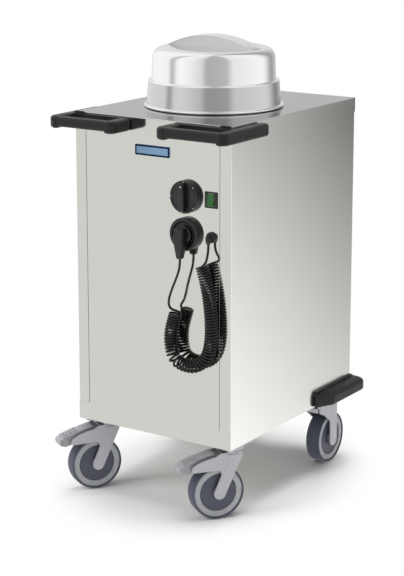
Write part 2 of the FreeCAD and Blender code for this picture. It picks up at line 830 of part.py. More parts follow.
def ridge(inset):
    """The ridge's outside as a solid, or with an inset its inside, which runs out through the foot."""
    ball_radius = (ridge_half_length ** 2 + ridge_height ** 2) / (2 * ridge_height)
    ball = Part.makeSphere(ball_radius - inset, V(0, 0, lid_body_height + ridge_height - ball_radius))
    half = ridge_width / 2 - inset
    foot = lid_body_height - inset
    return ball.common(box(-ridge_half_length, ridge_half_length, -half, half, foot, foot + 2 * ridge_height))


# ---------------------------------------------------------------- controls
def thermostat_body():
    """The thermostat behind the panel, with its shaft through it."""
    case = box(dial_x - 18, dial_x + 18, sheet, sheet + 32, dial_z - 22, dial_z + 22)
    shaft = rod((dial_x, sheet + 2, dial_z), (dial_x, -dial_depth + 3, dial_z), 3.0)
    return join(case, shaft)


def thermostat_knob():
    """The round knob with its raised grip bar."""
    plane = -0.6
    front = -dial_depth
    skirt = turned([(0, -plane), (dial_radius, -plane), (dial_radius, -front - 2),
                    ((dial_radius - 0.6, -front - 0.6), (dial_radius - 2, -front)), (dial_radius - 7, -front),
                    (dial_radius - 9, -front + 1.2), (0, -front + 1.2)])
    grip_length = dial_radius - 6
    grip = flat([(-dial_grip / 2, -grip_length), (dial_grip / 2, -grip_length),
                 (dial_grip / 2, grip_length), (-dial_grip / 2, grip_length)], 12.0, -front)
    grip = round_edges(grip, dial_grip / 2 - 0.5, upright)
    grip = round_edges(grip, 2.5, lambda e: abs(e.CenterOfMass.z - (12.0 - front)) < 0.1)
    hole = rod((0, 0, -plane - 1), (0, 0, dial_depth - 2), 3.08)
    knob = turned_by(join(skirt, grip).cut(hole), V(1, 0, 0), 90)
    return moved(knob, dial_x, 0, dial_z)


def switch_frame():
    """The rocker switch's body: a lip on the panel and a box behind it, open in front."""
    half_w, half_h = switch_width / 2, switch_height / 2
    lip = box(-half_w, half_w, -switch_lip, 0, -half_h, half_h)
    lip = round_edges(lip, 3, crosswise)
    behind = box(-switch_body_half[0], switch_body_half[0], 0, switch_behind,
                 -switch_body_half[1], switch_body_half[1])
    recess_x, recess_z = rocker_width / 2 + rocker_play, rocker_height / 2 + 1.0
    recess = box(-recess_x, recess_x, -switch_lip - 1, switch_behind / 2, -recess_z, recess_z)
    pin = rod((-rocker_width / 2 - 2, rocker_pivot_y, 0), (rocker_width / 2 + 2, rocker_pivot_y, 0), 1.8)
    return moved(join(lip, behind).cut([recess, pin]), switch_x, 0, switch_z)


def rocker_button():
    """The rocker, with a shallow V face and stub pins."""
    half_h = rocker_height / 2
    outline = [(-switch_lip, half_h - 0.4), (-switch_lip - 1.2, 0), (-switch_lip - 3.4, -half_h + 0.9),
               (1.0, -half_h + 0.9), (6.0, -6.0), (6.0, 6.0), (1.0, half_h - 0.4)]
    corners = [V(-rocker_width / 2, y, z) for y, z in outline]
    body = Part.Face(Part.makePolygon(corners + corners[:1])).extrude(V(rocker_width, 0, 0))
    pin = rod((-rocker_width / 2 - 1.6, rocker_pivot_y, 0), (rocker_width / 2 + 1.6, rocker_pivot_y, 0), 1.5)
    return moved(join(body, pin), switch_x, 0, switch_z)


def parking_socket():
    """A blind round socket that holds the plug while the cart is moved."""
    plate = turned([(0, 0), (socket_radius, 0), (socket_radius, socket_depth - 2),
                    ((socket_radius - 0.6, socket_depth - 0.6), (socket_radius - 2, socket_depth)),
                    (socket_radius - 7, socket_depth), (socket_radius - 11, socket_depth - 5),
                    (0, socket_depth - 5)])
    behind = rod((0, 0, -socket_behind), (0, 0, 0), socket_body_radius)
    recess = rod((0, 0, -socket_recess), (0, 0, socket_depth + 1), socket_bore)
    hole_end = -socket_recess - pin_length - 3
    pins = [rod((x, 0, hole_end), (x, 0, 0), pin_radius + 0.3) for x in (-pin_spacing / 2, pin_spacing / 2)]
    return moved(turned_by(join(plate, behind).cut([recess] + pins), V(1, 0, 0), 90), dial_x, 0, socket_z)


def plug_body():
    """The angled plug: a round face in the socket, a head in front and a tapering neck downwards."""
    front = -socket_depth - plug_depth
    face = rod((0, socket_recess, 0), (0, -socket_depth - 1, 0), plug_face_radius)
    head_top = plug_face_radius - 1
    head = box(-plug_width / 2, plug_width / 2, front, -socket_depth + 3, -plug_face_radius + 4, head_top)
    head = round_edges(head, 5, lambda e: crosswise(e) and e.CenterOfMass.z > 0)
    wide = loft_section(plug_width - 1, plug_depth - 1, -socket_depth - plug_depth / 2, -plug_face_radius + 5)
    narrow = loft_section(wire + 8, wire + 7, plug_lead[-1][1], -plug_neck)
    neck = Part.makeLoft([wide, narrow], True, True)
    return moved(join(face, head, neck), dial_x, 0, socket_z)


def loft_section(width, depth, y, z):
    """A rounded rectangle as a closed wire, level at z, with its middle at y."""
    corner = 0.35 * min(width, depth)
    sketch = box(-width / 2, width / 2, y - depth / 2, y + depth / 2, z, z + 1)
    rounded = round_edges(sketch, corner, upright)
    bottom = min(rounded.Faces, key=lambda f: f.CenterOfMass.z)
    return bottom.OuterWire


def plug_pins():
    """Two round pins in the socket's holes."""
    pins = []
    for x in (-pin_spacing / 2, pin_spacing / 2):
        pin = rod((x, socket_recess, 0), (x, socket_recess + pin_length, 0), pin_radius)
        pins.append(moved(pin, dial_x, 0, socket_z))
    return group(pins)


def cord_gland():
    """The hooded bush that turns the cord downwards out of the panel."""
    bottom = gland_lead[0][2] - gland_z
    disc = turned([(0, 0), (gland_radius, 0), (gland_radius, 4), (gland_radius - 1.5, 5.5), (0, 5.5)])
    disc = turned_by(disc, V(1, 0, 0), 90)
    stem = rod((0, 0, 0), (0, sheet + 12, 0), gland_stem_radius)
    nut = rod((0, sheet, 0), (0, sheet + 5, 0), gland_stem_radius + 4)
    hood_y = gland_lead[0][1]
    hood = rod((0, hood_y, bottom), (0, hood_y, 0), gland_hood)
    cap = Part.makeSphere(gland_hood, V(0, hood_y, 0))
    neck = rod((0, 0, 0), (0, hood_y, 0), gland_hood)
    return moved(join(disc, stem, nut, hood, cap, neck), gland_x, 0, gland_z)


def badge_plate():
    """A bare name plate."""
    z = worktop - badge_drop
    plate = box(badge_x - badge_width / 2, badge_x + badge_width / 2, -badge_thickness, 0,
                z - badge_height / 2, z + badge_height / 2)
    return round_edges(plate, 2, crosswise)


# ---------------------------------------------------------------- curly cord
def route_curve(points):
    """The smooth line of a route: a quadratic spline that starts and ends on its first and last point."""
    spans = len(points) - 2
    knots = list(range(spans + 1))
    mults = [3] + [1] * (spans - 1) + [3]
    curve = Part.BSplineCurve()
    curve.buildFromPolesMultsKnots([V(*p) for p in points], mults, knots, False, 2)
    return curve


def coil_path():
    """Points and tangents at each quarter turn of the coil, wound right-handed round its route."""
    curve = route_curve(coil_route)
    samples = curve.discretize(Distance=0.25)
    tangents = []
    for k in range(len(samples)):
        ahead = samples[min(k + 1, len(samples) - 1)] - samples[max(k - 1, 0)]
        tangents.append(ahead.normalize())
    # a normal carried along the route without twist, starting from +X
    normal = V(1, 0, 0) - tangents[0] * tangents[0].x
    normal.normalize()
    turned_so_far = 0.0
    spots = []
    angles = [0.0]
    normals = [normal]
    for k in range(1, len(samples)):
        run = (samples[k] - samples[k - 1]).Length
        bend = (tangents[k] - tangents[k - 1]).Length / run
        normal = normal - tangents[k] * normal.dot(tangents[k])
        normal.normalize()
        pitch = max(coil_pitch, (wire + coil_gap) / (1 - bend * coil_radius))
        turned_so_far += 2 * math.pi * run / pitch
        angles.append(turned_so_far)
        normals.append(V(normal))
    stretch = 2 * math.pi * coil_turns / turned_so_far
    print(f"curly cord: {turned_so_far / 2 / math.pi:.1f} turns would fit, wound with {coil_turns}")
    return samples, tangents, normals, [a * stretch for a in angles]


def coil_point(samples, tangents, normals, angles, turn):
    """Where the wire is after a given turn, in radians from its start."""
    low, high = 0, len(angles) - 1
    while high - low > 1:
        middle = (low + high) // 2
        low, high = (middle, high) if angles[middle] <= turn else (low, middle)
    share = (turn - angles[low]) / (angles[high] - angles[low])
    centre = samples[low] + (samples[high] - samples[low]) * share
    along = tangents[low] + (tangents[high] - tangents[low]) * share
    along.normalize()
    normal = normals[low] + (normals[high] - normals[low]) * share
    normal = normal - along * normal.dot(along)
    normal.normalize()
    side_way = along.cross(normal)
    phase = turn + coil_phase
    return centre + (normal * math.cos(phase) + side_way * math.sin(phase)) * coil_radius


def biarc(start, start_way, end, end_way):
    """Two arcs that leave start along start_way, meet smoothly and reach end along end_way."""
    gap = end - start
    total = start_way + end_way
    a = 2 * (1 - start_way.dot(end_way))
    b = 2 * gap.dot(total)
    c = -gap.dot(gap)
    reach = (-b + math.sqrt(b * b - 4 * a * c)) / (2 * a) if a > 1e-9 else -c / b
    first = start + start_way * reach
    last = end - end_way * reach
    middle = (first + last) * 0.5
    return [arc_between(start, start_way, middle), arc_between(middle, (last - first).normalize(), end)]


def arc_between(start, way, end):
    """The arc that leaves start along way and ends at end."""
    chord = end - start
    across = chord - way * chord.dot(way)
    if across.Length < 1e-6:
        return Part.LineSegment(start, end)
    across.normalize()
    radius = chord.dot(chord) / (2 * chord.dot(across))
    centre = start + across * radius
    half_way = (start + end) * 0.5 - centre
    half_way.normalize()
    return Part.Arc(start, centre + half_way * radius, end)


def curly_cord():
    """The coiled stretch as one unbroken round tube. Prints its turns, length and least gap to itself."""
    samples, tangents, normals, angles = coil_path()
    total = angles[-1]
    count = round(4 * coil_turns)
    quarter = total / count
    def spot(turn):
        return coil_point(samples, tangents, normals, angles, turn)
    small = 0.002
    turns = [k * quarter for k in range(count + 1)]
    places = [spot(t) for t in turns]
    ways = [(spot(min(t + small, total)) - spot(max(t - small, 0.0))).normalize() for t in turns]
    edges = [Part.LineSegment(places[0] - ways[0] * wire, places[0]).toShape()]
    for k in range(count):
        edges += [piece.toShape() for piece in biarc(places[k], ways[k], places[k + 1], ways[k + 1])]
    edges.append(Part.LineSegment(places[-1], places[-1] + ways[-1] * wire).toShape())
    path = Part.Wire(edges)
    ring = Part.Wire([Part.makeCircle(wire / 2, places[0] - ways[0] * wire, ways[0])])
    tube = path.makePipeShell([ring], True, False)
    print(f"curly cord: {path.Length:.0f} mm of wire,",
          f"volume ratio {tube.Volume / (path.Length * math.pi * wire ** 2 / 4):.4f}")
    print(f"curly cord: least gap to itself {least_gap(path):.2f} mm")
    ends = (places[0] - ways[0] * wire, ways[0], places[-1] + ways[-1] * wire, ways[-1])
    return tube, ends


def least_gap(path):
    """The least distance between the tube's surfaces, on points along the path over half a turn apart."""
    step = 1.0
    points = path.discretize(Distance=step)
    apart = int(math.pi * coil_radius / step)
    reach = int(2.5 * 2 * math.pi * coil_radius / step)
    least = 1e9
    for k in range(0, len(points), 2):
        for j in range(k + apart, min(k + reach, len(points))):
            least = min(least, (points[k] - points[j]).Length)
    return least - wire


def rounded_tube(points, label):
    """A tube along straight runs joined by tangent arcs, each as large as its runs allow."""
    corners = [V(*p) for p in points]
    edges = []
    here = corners[0]
    radii = []
    for before, corner, after in zip(corners, corners[1:], corners[2:]):
        way_in = (corner - before).normalize()
        way_out = (after - corner).normalize()
        turn = way_in.getAngle(way_out)
        cut = 0.45 * min((corner - before).Length, (after - corner).Length)
        radii.append(cut / math.tan(turn / 2))
        start = corner - way_in * cut
        end = corner + way_out * cut
        edges.append(Part.LineSegment(here, start).toShape())
        edges.append(arc_between(start, way_in, end).toShape())
        here = end
    edges.append(Part.LineSegment(here, corners[-1]).toShape())
    path = Part.Wire(edges)
    ring = Part.Wire([Part.makeCircle(wire / 2, corners[0], corners[1] - corners[0])])
    tube = path.makePipeShell([ring], True, False)
    print(f"{label}: {path.Length:.0f} mm, radii", [round(r, 1) for r in radii],
          f"volume ratio {tube.Volume / (path.Length * math.pi * wire ** 2 / 4):.4f}")
    return tube


# ---------------------------------------------------------------- the whole cart
def main():
    screws = handle_screws()
    all_screws = screws + [mirrored(s) for s in screws]
    castor_holes = cabinet_bolt_holes()
    side_sheet = side_panel().cut(screws + castor_holes)
    save("top_plate", top_plate().cut(all_screws))
    save("side_panel_right", side_sheet)
    save("side_panel_left", mirrored(side_sheet))
    save("front_panel", front_panel().cut(all_screws))
    save("back_panel", back_panel())
    save("base_plate", base_plate().cut(castor_holes))
    save("castor_pads", castor_pads().cut(castor_holes))

    grip = handle().cut(screws)
    save("handle_right", grip)
    save("handle_left", mirrored(grip))
    save("handle_screws", group(all_screws))
    save("bumper_right", bumper())
    save("bumper_left", mirrored(bumper()))
    save("badge_plate", badge_plate())

    save("well_tube", well_tube())
    save("well_foot", well_foot())
    save("heater_element", heater_element())
    save("plate_platform", plate_platform())
    save("lift_carriage", lift_carriage())
    save("guide_rods", guide_rods())
    save("spring_hangers", spring_hangers())
    save("lift_springs", lift_springs())
    save("lid", lid())
    save("lid_grip", lid_grip())

    save("thermostat_body", thermostat_body())
    save("thermostat_knob", thermostat_knob())
    save("switch_frame", switch_frame())
    save("rocker_button", rocker_button())
    save("parking_socket", parking_socket())
    save("cord_gland", cord_gland())
    save("plug_body", plug_body())
    save("plug_pins", plug_pins())

    save("castor_plates", group([moved(castor_plate(), x, y) for x, y, _ in castor_spots.values()]))
    save("castor_bolts", group([moved(b, x, y) for x, y, _ in castor_spots.values() for b in castor_bolts()]))
    save("kingpins", group([at_castor(kingpin(), spot) for spot in castor_spots.values()]))
    for corner, spot in castor_spots.items():
        braked = corner.startswith("front")
        save(f"fork_{corner}", at_castor(fork(braked), spot))
        save(f"axle_{corner}", at_castor(axle(), spot))
        save(f"tyre_{corner}", at_castor(tyre(), spot))
        save(f"rim_{corner}", at_castor(rim(), spot))
        save(f"wheel_guards_{corner}", at_castor(wheel_guards(), spot))
        if braked:
            save(f"pedal_{corner}", at_castor(pedal(), spot))

    coil, (start, start_way, end, end_way) = curly_cord()
    save("curly_cord", coil)
    first = gland_lead + [tuple(start - start_way * lead_straight), tuple(start)]
    last = [tuple(end), tuple(end + end_way * lead_straight)] + plug_lead
    save("cord_lead_gland", rounded_tube(first, "gland lead"))
    save("cord_lead_plug", rounded_tube(last, "plug lead"))
    print("coil starts", [round(c, 1) for c in start], "along", [round(c, 2) for c in start_way])
    print("coil ends", [round(c, 1) for c in end], "along", [round(c, 2) for c in end_way])


main()
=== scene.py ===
# %% [markdown]
# # A heated plate dispenser cart
# This is a kitchen trolley: a stainless steel cabinet on four castors, with one sprung plate well
# under a polished dome, two black push handles, corner bumpers at the back, and a small control
# area where a plug on a curly cord is parked.
#
# The exact sizes and the moving joints come from a CAD model, which is loaded first as a frame.
# Each step below then takes one piece of the real cart and models what the eye sees: rounded
# sheet edges, moulded plastic, rubber, polished metal.

# %% Load the CAD frame
import json
import math

import bmesh
import bpy
from mathutils import Matrix, Vector


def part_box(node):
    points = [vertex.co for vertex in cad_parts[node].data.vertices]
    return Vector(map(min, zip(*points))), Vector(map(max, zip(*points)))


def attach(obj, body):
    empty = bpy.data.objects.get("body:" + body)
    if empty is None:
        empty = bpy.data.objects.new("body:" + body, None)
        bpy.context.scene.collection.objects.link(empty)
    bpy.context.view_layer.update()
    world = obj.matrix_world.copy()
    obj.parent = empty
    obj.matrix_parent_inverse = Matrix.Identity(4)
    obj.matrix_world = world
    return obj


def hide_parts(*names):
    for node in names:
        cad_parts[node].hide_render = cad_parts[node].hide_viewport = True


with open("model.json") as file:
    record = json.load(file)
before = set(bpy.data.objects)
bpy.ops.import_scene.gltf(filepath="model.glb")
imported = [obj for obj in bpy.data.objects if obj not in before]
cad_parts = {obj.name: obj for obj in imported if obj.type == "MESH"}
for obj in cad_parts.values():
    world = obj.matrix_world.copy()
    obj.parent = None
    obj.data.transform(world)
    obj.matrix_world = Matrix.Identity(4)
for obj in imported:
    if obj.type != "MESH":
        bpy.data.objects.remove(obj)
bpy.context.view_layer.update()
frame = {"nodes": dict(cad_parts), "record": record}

# %% [markdown]
# ## Working in the cart's own millimetres
# Sheet metal is dimensioned from the cabinet: x from its middle, y from its front face, z from the
# floor, all in millimetres. The frame is in metres with its origin elsewhere. One small function
# moves from the first to the second, and finds the cabinet from the CAD nodes themselves, so the
# numbers below can be read like a workshop drawing.

# %% From cabinet millimetres to the frame's metres
MM = 0.001
panel_low, panel_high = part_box("top_plate")
cabinet_middle = (panel_low.x + panel_high.x) / 2
cabinet_front = panel_low.y
worktop = panel_high.z / MM
half_width = (panel_high.x - panel_low.x) / 2 / MM
DIAL_X = half_width - 116.0
SOCKET_Z = worktop - 246.0


def mm(x, y, z):
    return Vector((cabinet_middle + x * MM, cabinet_front + y * MM, z * MM))


print("worktop height", round(worktop, 1), "half width", round(half_width, 1))

# %% [markdown]
# ## The camera
# The photograph was taken from the right, a little above the worktop, with a longish lens. The
# camera's place, its lens and a small downward shift were found by fitting the cabinet's eight
# corners. Setting it up first means that every later piece can be judged against the picture.

# %% Camera
LENS_PIXELS = 1704.0
IMAGE_HEIGHT = 576.0
CAMERA_TURN, CAMERA_TILT = 33.78, 11.75

camera_data = bpy.data.cameras.new("camera")
camera_data.sensor_width = 36.0
camera_data.lens = LENS_PIXELS / IMAGE_HEIGHT * camera_data.sensor_width
camera_data.shift_y = -80.0 / IMAGE_HEIGHT
camera = bpy.data.objects.new("camera", camera_data)
camera.location = mm(2146.7, -3008.4, 1468.6)
camera.rotation_euler = (math.radians(90 - CAMERA_TILT), 0, math.radians(CAMERA_TURN))
bpy.context.collection.objects.link(camera)
bpy.context.scene.camera = camera
print("lens", round(camera_data.lens, 1), "mm")

# %% [markdown]
# ## Modelling tools
# Almost every piece is made the way a modeller does by hand: a primitive or an outline, an
# extrusion or a spin, a bevel, and smooth shading up to a chosen angle. These helpers only wrap
# that routine. Each piece ends with its object at the origin and its place in its mesh.

# %% Helpers for edit mode
def clear_selection():
    if bpy.context.object and bpy.context.object.mode != "OBJECT":
        bpy.ops.object.mode_set(mode="OBJECT")
    bpy.ops.object.select_all(action="DESELECT")


def activate(obj):
    clear_selection()
    obj.select_set(True)
    bpy.context.view_layer.objects.active = obj


def bake_place(obj):
    """Moves the object's place, turn and size into its mesh."""
    activate(obj)
    bpy.ops.object.transform_apply(location=True, rotation=True, scale=True)


def pick(obj, kind, wanted):
    """Selects, in edit mode, only the vertices, edges or faces that are wanted."""
    bpy.ops.mesh.select_mode(type=kind)
    bpy.ops.mesh.select_all(action="DESELECT")
    mesh = bmesh.from_edit_mesh(obj.data)
    for part in {"VERT": mesh.verts, "EDGE": mesh.edges, "FACE": mesh.faces}[kind]:
        if wanted(part):
            part.select_set(True)
    mesh.select_flush_mode()
    bmesh.update_edit_mesh(obj.data)


def edit(obj):
    activate(obj)
    bpy.ops.object.mode_set(mode="EDIT")
    bpy.ops.mesh.select_all(action="SELECT")


def leave():
    bpy.ops.object.mode_set(mode="OBJECT")


def extrude(x, y, z):
    """Extrudes what is selected by these millimetres."""
    bpy.ops.mesh.extrude_region_move(TRANSFORM_OT_translate={"value": (x * MM, y * MM, z * MM)})


def cut_at(spot, direction):
    """Cuts the edges and faces that a plane crosses, and keeps both sides."""
    bpy.ops.mesh.select_all(action="SELECT")
    bpy.ops.mesh.bisect(plane_co=spot, plane_no=direction)


def apply(obj, kind, **settings):
    """Adds a modifier with these settings and applies it."""
    activate(obj)
    step = obj.modifiers.new(kind.lower(), kind)
    for name, value in settings.items():
        setattr(step, name, value)
    bpy.ops.object.modifier_apply(modifier=step.name)


def bevel(obj, width, segments=3, angle=30.0, clamp=True):
    """Rounds every edge sharper than the angle. The width is in millimetres."""
    apply(obj, "BEVEL", width=width * MM, segments=segments, limit_method="ANGLE",
          angle_limit=math.radians(angle), use_clamp_overlap=clamp)


def thicken(obj, thickness):
    """Gives a bent sheet its thickness, in millimetres."""
    apply(obj, "SOLIDIFY", thickness=thickness * MM, offset=-1.0, use_even_offset=True)


def carve(obj, cutter):
    """Cuts a shape out of a piece with an exact boolean and removes the cutter."""
    apply(obj, "BOOLEAN", operation="DIFFERENCE", solver="EXACT", object=cutter)
    bpy.data.objects.remove(cutter)


# %% Helpers that start a piece
def new_mesh(name, points, faces=(), edges=()):
    mesh = bpy.data.meshes.new(name)
    mesh.from_pydata([tuple(p) for p in points], list(edges), list(faces))
    obj = bpy.data.objects.new(name, mesh)
    bpy.context.collection.objects.link(obj)
    return obj


def block(name, low, high):
    """A cube primitive between two corners, given in the frame's metres."""
    clear_selection()
    low, high = Vector(low), Vector(high)
    bpy.ops.mesh.primitive_cube_add(size=1, location=(low + high) / 2)
    obj = bpy.context.object
    obj.name = obj.data.name = name
    obj.scale = [abs(s) for s in high - low]
    bake_place(obj)
    return obj


def profile(name, outline, push):
    """A flat outline in the frame's metres, extruded by push, in millimetres."""
    obj = new_mesh(name, outline, faces=[range(len(outline))])
    edit(obj)
    extrude(*push)
    bpy.ops.mesh.select_all(action="SELECT")
    bpy.ops.mesh.normals_make_consistent(inside=False)
    leave()
    return obj


def turned(name, outline, steps=96):
    """A lathe piece round Z: an outline of (radius, height) in millimetres, spun a full turn."""
    points = [(r * MM, 0, z * MM) for r, z in outline]
    edges = [(k, (k + 1) % len(points)) for k in range(len(points))]
    if outline[0][0] == 0 and outline[-1][0] == 0:
        edges = edges[:-1]
    obj = new_mesh(name, points, edges=edges)
    edit(obj)
    bpy.ops.mesh.spin(steps=steps, angle=2 * math.pi, center=(0, 0, 0), axis=(0, 0, 1))
    bpy.ops.mesh.select_all(action="SELECT")
    bpy.ops.mesh.remove_doubles(threshold=1e-6)
    bpy.ops.mesh.normals_make_consistent(inside=False)
    leave()
    return obj


def place(obj, spot, turn=Matrix.Identity(4)):
    """Turns a piece about the origin, moves it to its spot and bakes both into the mesh."""
    obj.matrix_world = Matrix.Translation(spot) @ turn
    bake_place(obj)
    return obj


def twin(obj, name, matrix):
    """A copy with its own mesh, carried over by the matrix. A mirrored one gets its normals mended."""
    copy = bpy.data.objects.new(name, obj.data.copy())
    bpy.context.collection.objects.link(copy)
    copy.data.transform(matrix)
    if matrix.determinant() < 0:
        edit(copy)
        bpy.ops.mesh.normals_make_consistent(inside=False)
        leave()
    return copy


def unite(name, *objs):
    """Several shells become one object."""
    clear_selection()
    for obj in objs:
        obj.select_set(True)
    bpy.context.view_layer.objects.active = objs[0]
    bpy.ops.object.join()
    objs[0].name = objs[0].data.name = name
    return objs[0]


MIRROR = Matrix.Translation((2 * cabinet_middle, 0, 0)) @ Matrix.Scale(-1, 4, (1, 0, 0))
FACE_FRONT = Matrix.Rotation(math.radians(90), 4, "X")


def finish_piece(obj, material, body, *nodes, smooth=35.0, flats=False):
    """Smooth shading, material, the body that carries it, and the CAD nodes it stands for.

    With flats, large faces keep their own direction next to a bevel, so that they mirror evenly."""
    activate(obj)
    bpy.ops.object.shade_smooth_by_angle(angle=math.radians(smooth))
    if flats:
        apply(obj, "WEIGHTED_NORMAL", keep_sharp=True, weight=100)
    obj.data.materials.clear()
    obj.data.materials.append(material)
    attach(obj, body)
    if nodes:
        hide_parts(*nodes)
    print(f"{obj.name}: {len(obj.data.polygons)} faces on {body}")


def finish_pair(right, left_name, material, node):
    """Finishes a piece of the cabinet's right side and its mirror image on the left."""
    pair = (right, twin(right, left_name, MIRROR))
    for obj, side in zip(pair, ("right", "left")):
        finish_piece(obj, material, "cabinet", f"{node}_{side}", flats=True)
    return pair


def second_finish(obj, material, wanted):
    """Gives the faces that are wanted another material."""
    obj.data.materials.append(material)
    number = len(obj.data.materials) - 1
    for face in obj.data.polygons:
        if wanted(face):
            face.material_index = number


# %% [markdown]
# ## Finishes
# A material here starts from what the real part is made of and how its surface was made. Colours
# are written as sRGB hex values, as a picture editor shows them, and turned to linear light by one
# function. Patterns are sized in millimetres through the Object coordinates.

# %% Helpers for materials
def linear(hex_colour):
    parts = [int(hex_colour[k:k + 2], 16) / 255 for k in (1, 3, 5)]
    return [p / 12.92 if p <= 0.04045 else ((p + 0.055) / 1.055) ** 2.4 for p in parts] + [1.0]


def add(tree, kind, settings=None, by_place=(), **inputs):
    """Adds a node. A node or socket given as an input is linked, and any other value is set.

    Inputs that share one name are given by their place instead."""
    made = tree.nodes.new(kind)
    for name, value in (settings or {}).items():
        setattr(made, name, value)
    named = [(made.inputs[name.replace("_", " ")], value) for name, value in inputs.items()]
    for socket, value in [*zip(made.inputs, by_place), *named]:
        if isinstance(value, bpy.types.Node):
            value = value.outputs[0]
        if isinstance(value, bpy.types.NodeSocket):
            tree.links.new(value, socket)
        else:
            socket.default_value = value
    return made


def new_material(name):
    """An empty material, its node tree, and the Object coordinates for its patterns."""
    material = bpy.data.materials.new(name)
    material.use_nodes = True
    tree = material.node_tree
    tree.nodes.clear()
    return material, tree, add(tree, "ShaderNodeTexCoord").outputs["Object"]


def surface(tree, tone, tones, wear, roughness, relief, height, depth, **more):
    """Two tones by one pattern, a range of roughness by another, and relief by a third."""
    tint = add(tree, "ShaderNodeMix", {"data_type": "RGBA"}, Factor=tone)
    tint.inputs[6].default_value, tint.inputs[7].default_value = map(linear, tones)
    rough = add(tree, "ShaderNodeMapRange", Value=wear, From_Min=0.3, From_Max=0.7,
                To_Min=roughness[0], To_Max=roughness[1])
    bump = add(tree, "ShaderNodeBump", Height=relief, Strength=height, Distance=depth)
    shader = add(tree, "ShaderNodeBsdfPrincipled", Base_Color=tint.outputs[2], Roughness=rough,
                 Normal=bump, **more)
    add(tree, "ShaderNodeOutputMaterial", Surface=shader)


def per_mm(size):
    """The noise scale that makes one feature this many millimetres wide."""
    return 1.0 / (size * MM)


# %% [markdown]
# ### Stainless sheet
# The cabinet is 1.5 mm stainless with a bright rolled finish, so it mirrors what is close to it: the
# curly cord in the front panel, the dome in the worktop. Rolling leaves long parallel lines, so a
# noise is stretched along Z, or along Y on the worktop: it is fine across the lines and slow along
# them. It drives both the roughness and a very shallow bump. A second, cloudy noise makes the
# sheet's colour wander a little.

# %% Brushed stainless sheet
def brushed_steel(name, light, dark, grain, *roughness):
    """Rolled stainless steel. grain stretches the lines: a small number is long on that axis."""
    steel, tree, coordinates = new_material(name)
    stretched = add(tree, "ShaderNodeMapping", Vector=coordinates, Scale=grain)
    lines = add(tree, "ShaderNodeTexNoise", Vector=stretched, Scale=per_mm(0.9), Detail=4.0, Roughness=0.6)
    clouds = add(tree, "ShaderNodeTexNoise", Vector=coordinates, Scale=per_mm(160.0), Detail=2.0)
    surface(tree, clouds, (dark, light), lines, roughness, lines, 0.02, 0.0001, Metallic=1.0)
    return steel


UPRIGHT = (1.0, 1.0, 0.012)
panel_steel = brushed_steel("bright rolled stainless sheet", "#CFD0CA", "#CBCCC6", UPRIGHT, 0.07, 0.11)
# Painted light: the same rolled sheet as the front panel, only lighter, for the brighter sides and edges.
steel_with_painted_light = brushed_steel("rolled stainless with painted light", "#EFF0EB", "#EBECE7", UPRIGHT, 0.14, 0.20)
# Painted shade: the same rolled sheet as the front panel, only darker, for the worktop; its lines run along
# Y.
worktop_painted_shade = brushed_steel("rolled worktop with painted shade", "#999A99", "#949594", (1.0, 0.012, 1.0), 0.08, 0.13)
inner_steel = brushed_steel("plain stainless inside", "#B4B5B3", "#A8A9A7", (1.0, 1.0, 0.05), 0.32, 0.46)

# %% [markdown]
# ### Polished dome
# The dome is spun and polished: nearly a mirror, with faint rings from the polishing wheel. The
# rings are a wave texture that reads the distance from the dome's axis, as shallow as can be seen.

# %% Polished stainless
def polished_steel(name, colour, centre):
    steel, tree, coordinates = new_material(name)
    about_axis = add(tree, "ShaderNodeMapping", Vector=coordinates, Location=(-centre.x, -centre.y, 0.0))
    haze = add(tree, "ShaderNodeTexNoise", Vector=about_axis, Scale=per_mm(30.0), Detail=3.0)
    rings = add(tree, "ShaderNodeTexWave", {"wave_type": "RINGS", "rings_direction": "Z"},
                Vector=about_axis, Scale=per_mm(6.0), Distortion=2.0, Detail=2.0)
    rough = add(tree, "ShaderNodeMapRange", Value=haze, To_Min=0.07, To_Max=0.16)
    relief = add(tree, "ShaderNodeBump", Height=rings.outputs["Fac"], Strength=0.02, Distance=0.0001)
    shader = add(tree, "ShaderNodeBsdfPrincipled", Metallic=1.0, Base_Color=linear(colour), Roughness=rough,
                 Normal=relief)
    add(tree, "ShaderNodeOutputMaterial", Surface=shader)
    return steel


dome_centre = sum(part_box("lid"), Vector()) / 2
dome_steel = polished_steel("polished stainless dome", "#F4F5F4", dome_centre)
# Painted shade: the skirt is the same polished steel as the dome, only darker.
skirt_painted_shade = polished_steel("polished skirt with painted shade", "#CDCECD", dome_centre)
# Painted shade: the grip's upright sides, the same polished steel as the dome, only darker.
grip_side_painted_shade = polished_steel("polished grip side with painted shade", "#C4C6C5", dome_centre)

# %% [markdown]
# ### Moulded plastics, rubber and castor steel
# Injection-moulded parts copy the etched grain of their tool, a pebble of a millimetre or less. One
# function makes them all: a body colour and a roughness that wander a little, and a bump from the
# grain. Tread rubber is the same with a wider grain. The castor's pressed forks are zinc plated: a
# metal whose crystals give faint patches of lighter and darker grey.

# %% Moulded plastic and rubber
def moulded(name, colour, second, grain_mm, height, *roughness, **more):
    """A moulded finish with a pebbled grain of the given size in millimetres."""
    plastic, tree, coordinates = new_material(name)
    grain = add(tree, "ShaderNodeTexVoronoi", {"feature": "SMOOTH_F1"}, Vector=coordinates,
                Scale=per_mm(grain_mm), Smoothness=0.7)
    wear = add(tree, "ShaderNodeTexNoise", Vector=coordinates, Scale=per_mm(22.0), Detail=5.0)
    surface(tree, wear, (colour, second), wear, roughness, grain, height, 0.0003, **more)
    return plastic


